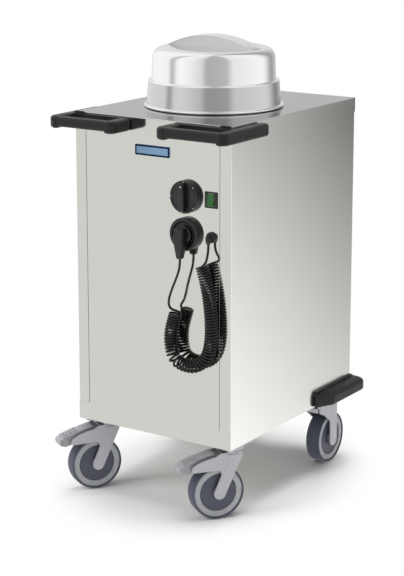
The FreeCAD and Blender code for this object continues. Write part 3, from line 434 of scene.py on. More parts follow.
black_plastic = moulded("black grained polypropylene", "#181918", "#202120", 0.9, 0.25, 0.34, 0.5,
                        Specular_IOR_Level=0.3)
knob_plastic = moulded("black ABS knob", "#1D1E1E", "#242525", 0.5, 0.08, 0.26, 0.38, Specular_IOR_Level=0.4)
cord_rubber = moulded("black cord rubber", "#161616", "#1F1F1F", 0.7, 0.10, 0.34, 0.46,
                      Specular_IOR_Level=0.35)
tread_rubber = moulded("blue-grey tread rubber", "#4A4D5A", "#53566A", 1.4, 0.20, 0.55, 0.7)
guard_plastic = moulded("dark grey thread guard", "#505262", "#585A69", 0.6, 0.10, 0.42, 0.52)
rim_plastic = moulded("light grey nylon rim", "#B6B8BC", "#BEC0C4", 0.6, 0.10, 0.40, 0.5)
pedal_plastic = moulded("light grey pedal nylon", "#A3A4A8", "#ACADB1", 0.6, 0.10, 0.42, 0.52)
white_paint = moulded("white dial print", "#E9E9E6", "#F0F0EE", 0.3, 0.02, 0.45, 0.55)
blue_print = moulded("dark blue print", "#1D4E7E", "#20558A", 0.3, 0.02, 0.35, 0.45)
label_field = moulded("blue printed field", "#7297B8", "#7A9FBF", 0.3, 0.02, 0.35, 0.45)
rocker_green = moulded("green rocker lens", "#16601A", "#1C6E20", 0.3, 0.02, 0.16, 0.22,
                       Transmission_Weight=0.25)


# %% Zinc-plated castor steel
def plated_steel(name, light, dark, patch_mm, *roughness):
    """Plated pressed steel with faint patches, as large as its crystals."""
    metal, tree, coordinates = new_material(name)
    patches = add(tree, "ShaderNodeTexVoronoi", Vector=coordinates, Scale=per_mm(patch_mm))
    fine = add(tree, "ShaderNodeTexNoise", Vector=coordinates, Scale=per_mm(1.5), Detail=3.0)
    surface(tree, patches, (light, dark), fine, roughness, fine, 0.05, 0.0002, Metallic=0.85)
    return metal


fork_steel = plated_steel("zinc-plated fork", "#BCBDC1", "#B2B3B7", 4.0, 0.36, 0.5)
bolt_steel = plated_steel("zinc-plated bolt", "#C6C7C8", "#AFB0B2", 2.0, 0.25, 0.4)
heater_steel = plated_steel("annealed heater sheath", "#6E6862", "#57524D", 6.0, 0.45, 0.6)

# %% [markdown]
# ## The curly cord
# A mains lead that is coiled hard and hangs in a U from its gland to the parked plug. Its middle
# line is a smooth spline through a few given points. A loop then walks along that line and
# winds the wire round it, a full turn for every pitch. Where the line bends, the pitch opens so
# that the turns on the inside of the bend still clear each other. The wire is one curve with a
# round bevel, so it stays a single unbroken tube.

# %% The middle line of the coil, as a spline
WIRE = 5.4
COIL_RADIUS = 12.8
COIL_PITCH = 6.1
COIL_GAP = 0.5
COIL_TURNS = 60.6
POINTS_PER_TURN = 16
COIL_PHASE = math.radians(90.0)

coil_route = [
    (53.0, -18.0, -64.5), (60.5, -18.0, -87.0), (70.5, -18.0, -130.0), (77.0, -18.0, -180.0),
    (77.5, -18.5, -230.0), (67.0, -19.0, -270.0), (38.0, -20.0, -293.0), (6.0, -20.5, -294.5),
    (-19.5, -21.0, -284.0), (-28.0, -22.0, -256.0), (-28.0, -23.0, -224.0), (-20.0, -23.0, -196.0),
    (-14.0, -23.0, -177.0),
]


def from_socket(points):
    """Points drawn from the middle of the parking socket."""
    return [mm(DIAL_X + x, y, SOCKET_Z + z) for x, y, z in points]


def spline(name, points, resolution):
    """A smooth NURBS line that starts and ends on its first and last point."""
    curve = bpy.data.curves.new(name, "CURVE")
    curve.dimensions = "3D"
    curve.resolution_u = resolution
    line = curve.splines.new("NURBS")
    line.points.add(len(points) - 1)
    for spot, point in zip(line.points, points):
        spot.co = (*point, 1.0)
    line.order_u = 3
    line.use_endpoint_u = True
    obj = bpy.data.objects.new(name, curve)
    bpy.context.collection.objects.link(obj)
    return obj


def read_points(curve_object):
    """The points of a curve's own line, as Blender draws it."""
    bpy.context.view_layer.update()
    mesh = bpy.data.meshes.new_from_object(curve_object)
    points = [v.co.copy() for v in mesh.vertices]
    bpy.data.meshes.remove(mesh)
    return points


middle_line = spline("coil middle line", from_socket(coil_route), resolution=160)
line_points = read_points(middle_line)
bpy.data.objects.remove(middle_line)
print("middle line:", len(line_points), "points")


# %% Wind the wire round it
def wind(points):
    """The wire's points: a helix round the line, with its pitch opened where the line bends."""
    tangents = []
    for k in range(len(points)):
        ahead = points[min(k + 1, len(points) - 1)] - points[max(k - 1, 0)]
        tangents.append(ahead.normalized())
    normal = Vector((1, 0, 0))
    normal = (normal - tangents[0] * normal.dot(tangents[0])).normalized()
    normals, angles = [normal], [0.0]
    for k in range(1, len(points)):
        run = (points[k] - points[k - 1]).length
        bend = (tangents[k] - tangents[k - 1]).length / run
        normal = (normal - tangents[k] * normal.dot(tangents[k])).normalized()
        opened = (WIRE + COIL_GAP) * MM / (1 - bend * COIL_RADIUS * MM)
        angles.append(angles[-1] + 2 * math.pi * run / max(COIL_PITCH * MM, opened))
        normals.append(normal)
    stretch = 2 * math.pi * COIL_TURNS / angles[-1]
    angles = [a * stretch for a in angles]
    wire, k = [], 0
    count = round(COIL_TURNS * POINTS_PER_TURN)
    for step in range(count + 1):
        turn = step * angles[-1] / count
        while k < len(angles) - 2 and angles[k + 1] < turn:
            k += 1
        share = (turn - angles[k]) / (angles[k + 1] - angles[k])
        centre = points[k].lerp(points[k + 1], share)
        along = tangents[k].lerp(tangents[k + 1], share).normalized()
        out = normals[k].lerp(normals[k + 1], share)
        out = (out - along * out.dot(along)).normalized()
        phase = turn + COIL_PHASE
        wire.append(centre + (out * math.cos(phase) + along.cross(out) * math.sin(phase)) * COIL_RADIUS * MM)
    return wire


coil_points = wind(line_points)
start_way = (coil_points[0] - coil_points[1]).normalized()
end_way = (coil_points[-1] - coil_points[-2]).normalized()
STRAIGHT_END = 10.0
coil_points = ([coil_points[0] + start_way * STRAIGHT_END * MM] + coil_points
               + [coil_points[-1] + end_way * STRAIGHT_END * MM])


def path_length(points):
    return sum((b - a).length for a, b in zip(points, points[1:]))


print("wire points:", len(coil_points), "length", round(path_length(coil_points), 3), "m")


# %% [markdown]
# The two free ends are short leads: one drops out of the gland and turns into the first curl, the
# other leaves the last curl, rises in a soft S and goes straight up into the plug. They are more
# points of the same spline, so that gland, curls and plug are joined by one unbroken cord.

# %% The cord, from gland to plug
gland_points = from_socket([(65.5, -13.0, -14.0), (65.5, -13.0, -26.0), (66.5, -18.5, -40.0),
                            (68.5, -26.5, -51.0)])
plug_points = from_socket([(-27.5, -30.0, -160.5), (-25.5, -34.0, -146.0), (-18.5, -31.5, -122.0),
                           (-8.5, -28.0, -96.0), (0.0, -26.5, -71.0), (0.0, -26.5, -52.0)])
cord_points = gland_points + coil_points + plug_points
cord = spline("whole_cord", cord_points, resolution=4)
cord.data.bevel_depth = WIRE / 2 * MM
cord.data.bevel_resolution = 3
cord.data.use_fill_caps = True
cord.data.materials.append(cord_rubber)
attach(cord, "cabinet")
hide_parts("curly_cord", "cord_lead_gland", "cord_lead_plug")
print("cord along its points:", round(path_length(cord_points), 3), "m")

# %% [markdown]
# ## A first dress for every CAD node
# Pieces that get no model of their own still need a finish. Each remaining CAD node takes the
# material that fits what it is, by the material slot in the part's record.

# %% Materials for the CAD nodes
slot_finish = {
    "stainless_sheet": panel_steel, "polished_steel": dome_steel, "zinc_plated_steel": fork_steel,
    "black_plastic": black_plastic, "black_rubber": cord_rubber, "badge": label_field,
    "well_steel": inner_steel, "heater_sheath": heater_steel, "spring_steel": bolt_steel,
    "thermostat_case": bolt_steel, "green_rocker": rocker_green, "nickel_pins": bolt_steel,
    "tread_rubber": tread_rubber, "grey_rim": rim_plastic, "dark_guard": guard_plastic,
    "pedal_grey": pedal_plastic,
}
for part in frame["record"]["subparts"]:
    node = frame["nodes"][part["node"]]
    node.data.materials.clear()
    node.data.materials.append(slot_finish[part["material_slot"]])
# The worktop node takes the darker copy of the sheet: painted shade.
frame["nodes"]["top_plate"].data.materials[0] = worktop_painted_shade
frame["nodes"]["castor_bolts"].data.materials[0] = bolt_steel

# %% [markdown]
# ## Rounding drawn corners
# Most parts here start from a drawn outline, in plan for the handles and bumpers or as a section
# for the turned parts. A drawn corner is sharp, and a real one never is. This function takes the
# corners with the radius each should have and returns the outline with its arcs in place.

# %% Softened outlines
def softened(corners, steps=6):
    """Rounds the corners of a closed outline. Each corner is (x, y) or (x, y, radius)."""
    outline = []
    for k, corner in enumerate(corners):
        here = Vector(corner[:2])
        if len(corner) < 3:
            outline.append(tuple(here))
            continue
        back = (Vector(corners[k - 1][:2]) - here).normalized()
        ahead = (Vector(corners[(k + 1) % len(corners)][:2]) - here).normalized()
        half = back.angle(ahead) / 2
        centre = here + (back + ahead).normalized() * corner[2] / math.sin(half)
        first = here + back * corner[2] / math.tan(half) - centre
        last = here + ahead * corner[2] / math.tan(half) - centre
        begin = math.atan2(first.y, first.x)
        sweep = (math.atan2(last.y, last.x) - begin + math.pi) % (2 * math.pi) - math.pi
        for step in range(steps + 1):
            angle = begin + sweep * step / steps
            outline.append((centre.x + corner[2] * math.cos(angle), centre.y + corner[2] * math.sin(angle)))
    return outline


def lathe(name, section, steps=96):
    """A lathe piece whose section has its corners rounded."""
    return turned(name, softened(section), steps)


# %% [markdown]
# ## The cabinet's sheets
# The cabinet is folded from sheet. What gives folded sheet away is its edge: the side panel turns
# the front corner in a tight bend and ends in a flange, and the front panel lies between the two
# flanges with a hairline gap. A box would have no bend and no gap. So each sheet is a plane whose
# edges are extruded into their folds, bevelled at the bend, and then given its thickness.

# %% Side panels
SHEET = 1.5
DEPTH = 540.0
BOTTOM = 175.0
FLANGE = 29.0
PLINTH = 42.0
SEAM = 1.0
FOOT_GAP = 0.15
BEND = 2.2


def flat_sheet(name, low, high):
    """A plane primitive that fills the flat box between two corners, its normal along the thin axis."""
    clear_selection()
    size = high - low
    thin = min(range(3), key=lambda axis: abs(size[axis]))
    turn = {0: (0, math.radians(90), 0), 1: (math.radians(90), 0, 0), 2: (0, 0, 0)}[thin]
    bpy.ops.mesh.primitive_plane_add(size=1, location=(low + high) / 2, rotation=turn)
    sheet = bpy.context.object
    sheet.name = sheet.data.name = name
    sheet.scale = {0: (size.z, size.y, 1), 1: (size.x, size.z, 1), 2: (size.x, size.y, 1)}[thin]
    bake_place(sheet)
    return sheet


def on_line(edge, **values):
    """True if both ends of an edge have the given coordinates."""
    return all(abs(getattr(v.co, axis) - value) < 1e-5 for v in edge.verts for axis, value in values.items())


side_x, front_y = mm(half_width, 0, 0).x, mm(0, 0, 0).y
plinth_z = (BOTTOM + PLINTH) * MM
side_right = flat_sheet("side_sheet_right", mm(half_width, 0, BOTTOM), mm(half_width, DEPTH, worktop - SHEET))
edit(side_right)
cut_at((0, 0, plinth_z), (0, 0, 1))
pick(side_right, "EDGE", lambda e: on_line(e, y=front_y) and max(v.co.z for v in e.verts) > plinth_z + 1e-4)
extrude(-FLANGE, 0, 0)
pick(side_right, "EDGE", lambda e: (on_line(e, x=side_x, y=front_y)
                                    and max(v.co.z for v in e.verts) > plinth_z + 1e-4))
bpy.ops.mesh.bevel(offset=BEND * MM, segments=5, affect="EDGES")
leave()
thicken(side_right, SHEET)
# The sides take the lighter copy of the sheet (painted light); the flange's front keeps the front panel's
# sheet.
for sheet in finish_pair(side_right, "side_sheet_left", steel_with_painted_light, "side_panel"):
    second_finish(sheet, panel_steel, lambda f: f.normal.y < -0.8)

# %% Front panel between the flanges, with its full-width foot
front_half = half_width - FLANGE - SEAM
front_panel = flat_sheet("front_sheet", mm(-half_width + SHEET, 0, BOTTOM),
                         mm(half_width - SHEET, 0, worktop - SHEET))
edit(front_panel)
for x in (-front_half, front_half):
    cut_at(mm(x, 0, 0), (1, 0, 0))
cut_at((0, 0, plinth_z - FOOT_GAP * MM), (0, 0, 1))
pick(front_panel, "FACE", lambda f: f.calc_center_median().z > plinth_z
     and abs(f.calc_center_median().x - cabinet_middle) > front_half * MM)
bpy.ops.mesh.delete(type="FACE")
leave()
thicken(front_panel, SHEET)
bevel(front_panel, 0.4, 2)
finish_piece(front_panel, panel_steel, "cabinet", "front_panel", flats=True)

# %% Worktop with its rounded edges, the rear apron and the well's hole
APRON = 35.0
APRON_PROUD = 4.5
WELL_Y = 250.0
WELL_HOLE = 146.5

top_sheet = flat_sheet("worktop_sheet", mm(-half_width, 0, worktop),
                       mm(half_width, DEPTH + APRON_PROUD, worktop))
rear_y = mm(0, DEPTH + APRON_PROUD, 0).y
edit(top_sheet)
pick(top_sheet, "EDGE", lambda e: on_line(e, y=rear_y))
extrude(0, 0, -APRON)
pick(top_sheet, "EDGE", lambda e: on_line(e, y=rear_y, z=worktop * MM))
bpy.ops.mesh.bevel(offset=BEND * MM, segments=5, affect="EDGES")
leave()
thicken(top_sheet, SHEET)
bevel(top_sheet, 0.7, 3)
hole = place(turned("well_hole", [(0, -5), (WELL_HOLE, -5), (WELL_HOLE, 5), (0, 5)], steps=128),
             mm(0, WELL_Y, worktop))
carve(top_sheet, hole)
finish_piece(top_sheet, worktop_painted_shade, "cabinet", "top_plate", flats=True)
# Painted highlight: the worktop's rims, rear apron and hole wall take the lighter copy of the sheet.
second_finish(top_sheet, steel_with_painted_light, lambda f: abs(f.normal.z) < 0.8)

# %% [markdown]
# ## The dome
# A lid spun from one disc: a rolled wire edge, a skirt, a step that stiffens it, the body, a wide
# shoulder and a nearly flat top. It is a lathe shape, so its section is drawn once with rounded
# corners and spun. Many steps are used, because a mirror shows every facet. The raised grip across
# the top is a strip of a large sphere: a grid is laid flat, lifted onto the sphere, and its rim is
# extruded down into the top.

# %% Turned shell of the dome
LID_BASE = worktop + 0.3
LID_HEIGHT = 136.0

dome_section = [
    (0, 136.0), (70, 135.9), (100, 135.7), (140.55, 134.9, 23.0), (143.4, 61.9, 2.0), (151.2, 61.0, 3.2),
    (155.3, 5.4, 1.5), (162.0, 7.6, 3.7), (162.0, 0, 3.7), (154.4, 0, 3.7), (154.4, 5.0, 1.0),
    (150.2, 59.9, 2.2), (142.4, 60.7, 2.0), (139.4, 133.6, 22.0), (100, 134.5), (70, 134.7), (0, 134.8),
]
dome = place(turned("dome", softened(dome_section, steps=8), steps=192), mm(0, WELL_Y, LID_BASE))

# %% The raised grip on the dome
GRIP_HALF, GRIP_LENGTH, GRIP_RISE = 23.0, 117.0, 28.0
GRIP_FOOT, GRIP_SKIRT, GRIP_SPREAD = -2.0, 4.0, 1.06

clear_selection()
bpy.ops.mesh.primitive_grid_add(x_subdivisions=72, y_subdivisions=10, size=1)
grip = bpy.context.object
grip.scale = (2 * GRIP_LENGTH * MM, 2 * GRIP_HALF * MM, 1)
bake_place(grip)
sphere = (GRIP_LENGTH ** 2 + GRIP_RISE ** 2) / (2 * GRIP_RISE) * MM
for vertex in grip.data.vertices:
    flat = vertex.co.x ** 2 + vertex.co.y ** 2
    vertex.co.z = max(math.sqrt(sphere ** 2 - flat) - sphere + GRIP_RISE * MM, GRIP_FOOT * MM)
edit(grip)
pick(grip, "EDGE", lambda e: e.is_boundary)
extrude(0, 0, -GRIP_SKIRT)
bpy.ops.transform.resize(value=(1.0, GRIP_SPREAD, 0.0),
                         center_override=(0, 0, (GRIP_FOOT - GRIP_SKIRT) * MM))
leave()
bevel(grip, 2.4, 4, angle=50)
place(grip, mm(0, WELL_Y, LID_BASE + LID_HEIGHT - 0.2))
dome = unite("dome_lid", dome, grip)
finish_piece(dome, dome_steel, "lid", "lid", "lid_grip", smooth=40)


def lid_level(face):
    """How high a face of the dome stands above the lid's lower edge, in millimetres."""
    return face.center.z / MM - LID_BASE


# Painted shade: the skirt's upright faces take the darker copy of the polished steel.
second_finish(dome, skirt_painted_shade, lambda f: 7 < lid_level(f) < 59 and abs(f.normal.z) < 0.3)
# Painted shade: the grip's upright sides take a darker copy of the polished steel.
second_finish(dome, grip_side_painted_shade, lambda f: lid_level(f) > LID_HEIGHT - 3 and abs(f.normal.z) < 0.75)

# %% [markdown]
# ## Push handles
# Each handle is one heavy moulding: a closed ring whose front side is the grip bar, with the outer
# arm running back along the cabinet's side. Each side of the ring is a bar: a plan with generous
# corners, extruded upwards, with every rim rounded. The grip is a little thinner than the two
# knuckles that it runs between, so that a step shows where they meet, as on the real one.

# %% Handles
HANDLE_TOP = worktop - 4.0
HANDLE_LOW = HANDLE_TOP - 28.0
BAR_LOW = HANDLE_TOP - 24.0
REACH = 68.0
WALL_X = half_width + 0.05
OUT, IN = half_width + 27.5, half_width - 155.0


def rounded_bar(name, plan, low, high, rounding=7.0):
    """A plan with softened corners, raised from one level to another, all its rims rounded."""
    bar = profile(name, [mm(x, y, low) for x, y in softened(plan, 10)], (0, 0, high - low))
    bevel(bar, rounding, 5, angle=50, clamp=False)
    return bar


side_arm = rounded_bar("right_handle", [(WALL_X, 116), (WALL_X, -REACH), (OUT, -REACH, 20), (OUT, 116, 14)],
                       HANDLE_LOW, HANDLE_TOP)
inner_arm = rounded_bar("inner_arm", [(IN, -0.05), (IN, -REACH, 16), (IN + 28, -REACH), (IN + 28, -0.05)],
                        HANDLE_LOW, HANDLE_TOP)
grip_plan = [(IN + 20, 1.5 - REACH), (OUT - 20, 1.5 - REACH), (OUT - 20, -45), (IN + 20, -45)]
grip_bar = rounded_bar("grip_bar", grip_plan, BAR_LOW, HANDLE_TOP - 0.5)
back_wall = rounded_bar("back_wall", [(IN + 14, -6), (OUT - 20, -6), (OUT - 20, -0.05), (IN + 14, -0.05)],
                        HANDLE_LOW, HANDLE_TOP, 1.2)
lip = block("lip", mm(half_width - 26, -3, HANDLE_TOP - 3), mm(half_width, 0, worktop + 1.5))
bevel(lip, 0.8, 2)
handle_right = unite("right_handle", side_arm, inner_arm, grip_bar, back_wall, lip)
finish_pair(handle_right, "left_handle", black_plastic, "handle")

# %% [markdown]
# ## Corner bumpers
# The two rear corners wear a black plastic fender. It ramps out of the side, turns the corner in
# a round nose and ramps back into the rear. The outer face is upright, and above it the fender
# slopes back up to the wall. The plan is drawn and extruded to the top of the upright face, and a
# second extrusion is pulled in to the wall, which makes the slope.

# %% Bumpers
BUMP_OUT, BUMP_RUN, BUMP_RAMP, BUMP_BLUNT = 32.0, 175.0, 44.0, 10.0
BUMP_FACE, BUMP_TOP = 26.0, 38.0

plan = [
    (half_width + 0.05, DEPTH - BUMP_RUN), (half_width + BUMP_BLUNT, DEPTH - BUMP_RUN),
    (half_width + BUMP_OUT, DEPTH - BUMP_RUN + BUMP_RAMP, 16), (half_width + BUMP_OUT, DEPTH + BUMP_OUT, 24),
    (half_width - BUMP_RUN + BUMP_RAMP, DEPTH + BUMP_OUT, 16), (half_width - BUMP_RUN, DEPTH + BUMP_BLUNT),
    (half_width - BUMP_RUN, DEPTH + 0.05), (half_width + 0.05, DEPTH + 0.05),
]
bumper_right = profile("right_bumper", [mm(x, y, BOTTOM) for x, y in softened(plan)], (0, 0, BUMP_FACE))
wall = mm(half_width + 1.0, DEPTH + 1.0, 0)
edit(bumper_right)
pick(bumper_right, "FACE", lambda f: f.normal.z > 0.9)
extrude(0, 0, BUMP_TOP - BUMP_FACE)
shell = bmesh.from_edit_mesh(bumper_right.data)
for vertex in shell.verts:
    if vertex.co.z > (BOTTOM + BUMP_FACE + 1) * MM:
        vertex.co.x = min(vertex.co.x, wall.x)
        vertex.co.y = min(vertex.co.y, wall.y)
bmesh.update_edit_mesh(bumper_right.data)
bpy.ops.mesh.select_all(action="SELECT")
bpy.ops.mesh.remove_doubles(threshold=1e-5)
bpy.ops.mesh.normals_make_consistent(inside=False)
leave()
bevel(bumper_right, 6.5, 5, angle=25, clamp=False)
finish_pair(bumper_right, "left_bumper", black_plastic, "bumper")

# %% [markdown]
# ## Name plate
# A small plate, printed light blue with a darker border. The border is an inset of the front face
# with its own material, so it is part of the piece and not a picture. The field stays bare.

# %% Name plate
PLATE_RIM, PLATE_BORDER = 0.8, 4.0
plate_low, plate_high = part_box("badge_plate")
name_plate = block("name_plate", plate_low, plate_high)
edit(name_plate)
pick(name_plate, "EDGE", lambda e: abs(e.verts[0].co.y - e.verts[1].co.y) > 0.001)
bpy.ops.mesh.bevel(offset=2 * MM, segments=4, affect="EDGES")
leave()
finish_piece(name_plate, label_field, "cabinet", "badge_plate", flats=True)
edit(name_plate)
for inset in (PLATE_RIM, PLATE_BORDER):
    pick(name_plate, "FACE", lambda f: f.normal.y < -0.9)
    bpy.ops.mesh.inset(thickness=inset * MM)
leave()
front_faces = [f for f in name_plate.data.polygons if f.normal.y < -0.9]
field = max(front_faces, key=lambda f: f.area).index
second_finish(name_plate, blue_print, lambda f: f.normal.y < -0.9 and f.index != field)

# %% [markdown]
# ## Dial, socket, switch and gland
# Four small controls. The dial is a turned skirt with a raised grip bar across it, a white dot at
# the bar's top and short printed marks round its rim. The parking socket is a wide turned ring.
# The switch is a bevelled frame round a green rocker with a shallow V in its face. The gland is a
# small turned cap with a hood over the cord's exit.

# %% Dial
def towards_viewer(obj, spot):
    """Stands a piece that was turned round Z on the front panel, facing the viewer."""
    return place(obj, spot, FACE_FRONT)


def panel_spot(node, y=0.0):
    """The middle of a CAD node seen from the front, y millimetres behind the front panel."""
    low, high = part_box(node)
    return Vector(((low.x + high.x) / 2, mm(0, y, 0).y, (low.z + high.z) / 2))


dial_spot = panel_spot("thermostat_knob", -0.6)
skirt = lathe("dial", [(0, 0), (36.5, 0, 0.5), (36.5, 12.4, 1.6), (31.5, 12.4, 0.6), (29.2, 10.6, 0.8),
                       (0, 10.6)])
bar = profile("dial_bar", [(x * MM, y * MM, 10 * MM) for x, y in
                           softened([(-7, -29.5, 6.5), (7, -29.5, 6.5), (5.4, 29.5, 5), (-5.4, 29.5, 5)])],
              (0, 0, 13.6))
bevel(bar, 2.2, 4, angle=50)
dial = towards_viewer(unite("dial", skirt, bar), dial_spot)
finish_piece(dial, knob_plastic, "knob", "thermostat_knob")

MARK_START, MARK_LENGTH = 32.1, 3.6
marks = []
for degrees in (0, 47, 132, 188, 270):
    mark = block("mark", (-0.5 * MM, MARK_START * MM, 12.1 * MM),
                 (0.5 * MM, (MARK_START + MARK_LENGTH) * MM, 12.5 * MM))
    marks.append(place(mark, (0, 0, 0), Matrix.Rotation(math.radians(-degrees), 4, "Z")))
dot = turned("dot", [(0, 23.2), (1.7, 23.2), (1.7, 23.75), (0, 23.75)], steps=24)
marks.append(place(dot, Vector((0, 24.5 * MM, 0))))
prints = towards_viewer(unite("dial_print", *marks), dial_spot)
finish_piece(prints, white_paint, "knob")

# %% Parking socket
socket_spot = panel_spot("parking_socket")
socket = lathe("socket_ring", [
    (20.5, -6.0), (20.5, 9.0, 0.6), (26.0, 9.0, 1.0), (30.0, 14.0, 1.6), (37.0, 14.0, 2.4), (37.0, 0),
    (26.0, 0), (26.0, -20), (0, -20), (0, -6.0)])
towards_viewer(socket, socket_spot)
finish_piece(socket, knob_plastic, "cabinet", "parking_socket")

# %% Switch
frame_low, frame_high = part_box("switch_frame")
frame_high.y = front_y
bezel = block("switch_bezel", frame_low, frame_high)
bevel(bezel, 1.1, 3)
switch_mid = mm(DIAL_X + 64.5, 0, worktop - 164.0)
carve(bezel, block("rocker_well", switch_mid + Vector((-9.2, -6, -14.7)) * MM,
                   switch_mid + Vector((9.2, 12, 14.7)) * MM))
finish_piece(bezel, knob_plastic, "cabinet", "switch_frame", flats=True)
rocker_face = [(-3.0, 13.3), (-4.2, 0.0), (-6.4, -12.8), (1.0, -12.8), (4.0, 0.0), (1.0, 13.3)]
rocker = profile("green_rocker", [switch_mid + Vector((-8.7, y, z)) * MM for y, z in rocker_face],
                 (17.4, 0, 0))
bevel(rocker, 0.7, 3)
finish_piece(rocker, rocker_green, "rocker", "rocker_button")

# %% Gland
gland_spot = mm(DIAL_X + 65.5, 0, worktop - 246.5)
cap = lathe("gland_cap", [(0, 0), (12.2, 0), (12.2, 5.2, 2.0), (8.0, 5.4, 1.0), (6.6, 9.0), (0, 9.0)], 64)
towards_viewer(cap, gland_spot)
hood = lathe("hood", [(0, -13.4), (4.0, -13.4, 0.8), (6.5, -6.0, 3.0), (6.5, 6.5, 6.0), (0, 6.5)], 48)
place(hood, gland_spot + Vector((0, -13, 0)) * MM)
gland = unite("gland_cap", cap, hood)
finish_piece(gland, knob_plastic, "cabinet", "cord_gland")

# %% [markdown]
# ## The plug
# An angled mains plug parked in the socket: a round face, a head that stands off the face, and a
# neck that runs down and tapers to the cord. The neck is the strain relief, so it must narrow
# smoothly. The body is drawn from the side and extruded across its width, its neck is narrowed more
# and more towards the cord, and a bevel rounds it all.

# %% Plug
NECK_TOP, NECK_LENGTH, NECK_TAPER = 14.0, 38.0, 0.44
plug_face = lathe("plug", [(0, -5.9), (19.4, -5.9), (19.4, 13.0, 2.0), (15.5, 16.0, 3.0), (0, 16.0)], 72)
towards_viewer(plug_face, socket_spot)
side_view = softened([(-13, 15, 4), (-13, -16, 6), (-19.8, -52.0), (-33.2, -52.0), (-37.2, -14, 8),
                      (-34.5, 18, 7)])
neck = profile("plug_neck", [socket_spot + Vector((-12, y, z)) * MM for y, z in side_view], (24, 0, 0))
edit(neck)
cut_at(socket_spot + Vector((0, 0, -NECK_TOP)) * MM, (0, 0, 1))
leave()
for vertex in neck.data.vertices:
    below = max((socket_spot.z - vertex.co.z) / MM - NECK_TOP, 0)
    vertex.co.x += (socket_spot.x - vertex.co.x) * NECK_TAPER * below / NECK_LENGTH
bevel(neck, 3.4, 5, angle=40)
plug = unite("angled_plug", plug_face, neck)
finish_piece(plug, knob_plastic, "cabinet", "plug_body")

# %% [markdown]
# ## Castors
# Four swivel castors with 125 mm wheels. The wheel is three turned parts: a solid tyre with
# rounded shoulders, a light rim whose ring shows at the side, and two dark thread guards. They are
# turned once, stood on their axle and copied to each corner. The fork is pressed sheet: a crown and
# two plates that run down to the axle, and on the front pair the plates are also cheeks, with a brake
# pedal between them. Everything is modelled for a castor that trails along +X, and then turned to
# its own angle.

# %% Castor places
WHEEL, TRAIL = 62.5, 36.0
CROWN_LOW, CROWN_TOP = 150.0, 158.0
FORK_IN, LEG = 21.0, 5.0
castor_turns = {
    "front_left": ((-172.0, 60.0), 239.0), "front_right": ((172.0, 60.0), 235.0),
    "rear_left": ((-172.0, 452.0), 90.0), "rear_right": ((172.0, 452.0), 90.0),
}


def castor_matrix(corner):
    (x, y), degrees = castor_turns[corner]
    spot = mm(x, y, 0)
    return Matrix.Translation(spot) @ Matrix.Rotation(math.radians(degrees), 4, "Z")


def local(x, y, z):
    return Vector((x, y, z)) * MM


# %% Wheel
AXLE_SPOT = local(TRAIL, 0, WHEEL)


def far_side(section):
    """The same section on the wheel's other side."""
    return [(r, -z, *more) for r, z, *more in section]


tyre_side = [(62.5, 11.0, 8.0), (60.9, 18.0, 2.2), (58.5, 18.0, 0.8), (57.5, 16.0)]
tyre = lathe("tyre", far_side(tyre_side[::-1]) + tyre_side, 128)
rim_side = [(5.06, 20.6), (12.0, 20.6, 0.8), (12.0, 4.0), (39.5, 4.0, 1.0), (40.0, 11.0), (43.0, 11.0),
            (44.0, 16.0, 1.2), (54.0, 16.4, 1.8), (57.5, 15.0)]
rim = lathe("rim", rim_side + far_side(rim_side[::-1]), 128)
guard_side = [(12.3, 11.0), (42.8, 11.0), (42.8, 13.4, 0.5), (37.0, 14.4, 2.0), (30.0, 14.1, 3.0),
              (17.0, 15.3, 1.5), (12.3, 15.4)]
guards = unite("thread_guards", lathe("guard", guard_side), lathe("guard", far_side(guard_side)))
for part in (tyre, rim, guards):
    place(part, AXLE_SPOT, FACE_FRONT)

wheel_parts = ((tyre, "tyre", tread_rubber), (rim, "rim", rim_plastic),
               (guards, "wheel_guards", guard_plastic))
for corner in castor_turns:
    for part, node, material in wheel_parts:
        copy = twin(part, f"{node}_of_{corner}", castor_matrix(corner))
        finish_piece(copy, material, f"wheel_{corner}", f"{node}_{corner}")
for part, _, _ in wheel_parts:
    bpy.data.objects.remove(part)


# %% Forks
braked_side = [(-18, 158), (32, 158, 5), (44, 151, 8), (60, 148, 10), (85, 141, 14), (103, 131, 10),
               (103, 118, 5), (27, 117.5, 10), (54.4, 54.5, 13.9), (27.6, 44.5, 13.9), (-5, 117, 20),
               (-18, 144, 6)]
braked_rib = [(-15.5, 155, 4), (26, 155, 4), (12, 143, 8), (53.8, 54.8, 13.2), (28.2, 45.2, 13.2),
              (-15.5, 140, 4)]
plain_side = [(-30, 158), (52, 158, 3), (52, 42, 15.9), (20, 42, 15.9), (20, 108, 12), (-10, 131, 16),
              (-30, 140, 5)]
plain_rib = [(22, 150, 4), (50, 150, 4), (50, 44, 13.9), (22, 44, 13.9)]


def from_side(name, outline, y, width, steps=6):
    """A part of the castor drawn from its side at y, and extruded across."""
    corners = softened(outline, steps=steps)
    return profile(name, [local(x, y, z) for x, z in corners], (0, width, 0))


def fork_half(outline, leg_rib):
    """The near cheek and leg: a pressed plate, with the leg standing a little proud of it."""
    leg = from_side("leg", outline, FORK_IN, LEG - 0.7, steps=8)
    bevel(leg, 1.2, 3, angle=50)
    rib = from_side("leg_rib", leg_rib, FORK_IN + 2, LEG - 2, steps=8)
    bevel(rib, 0.9, 3, angle=50)
    return unite("leg", leg, rib)


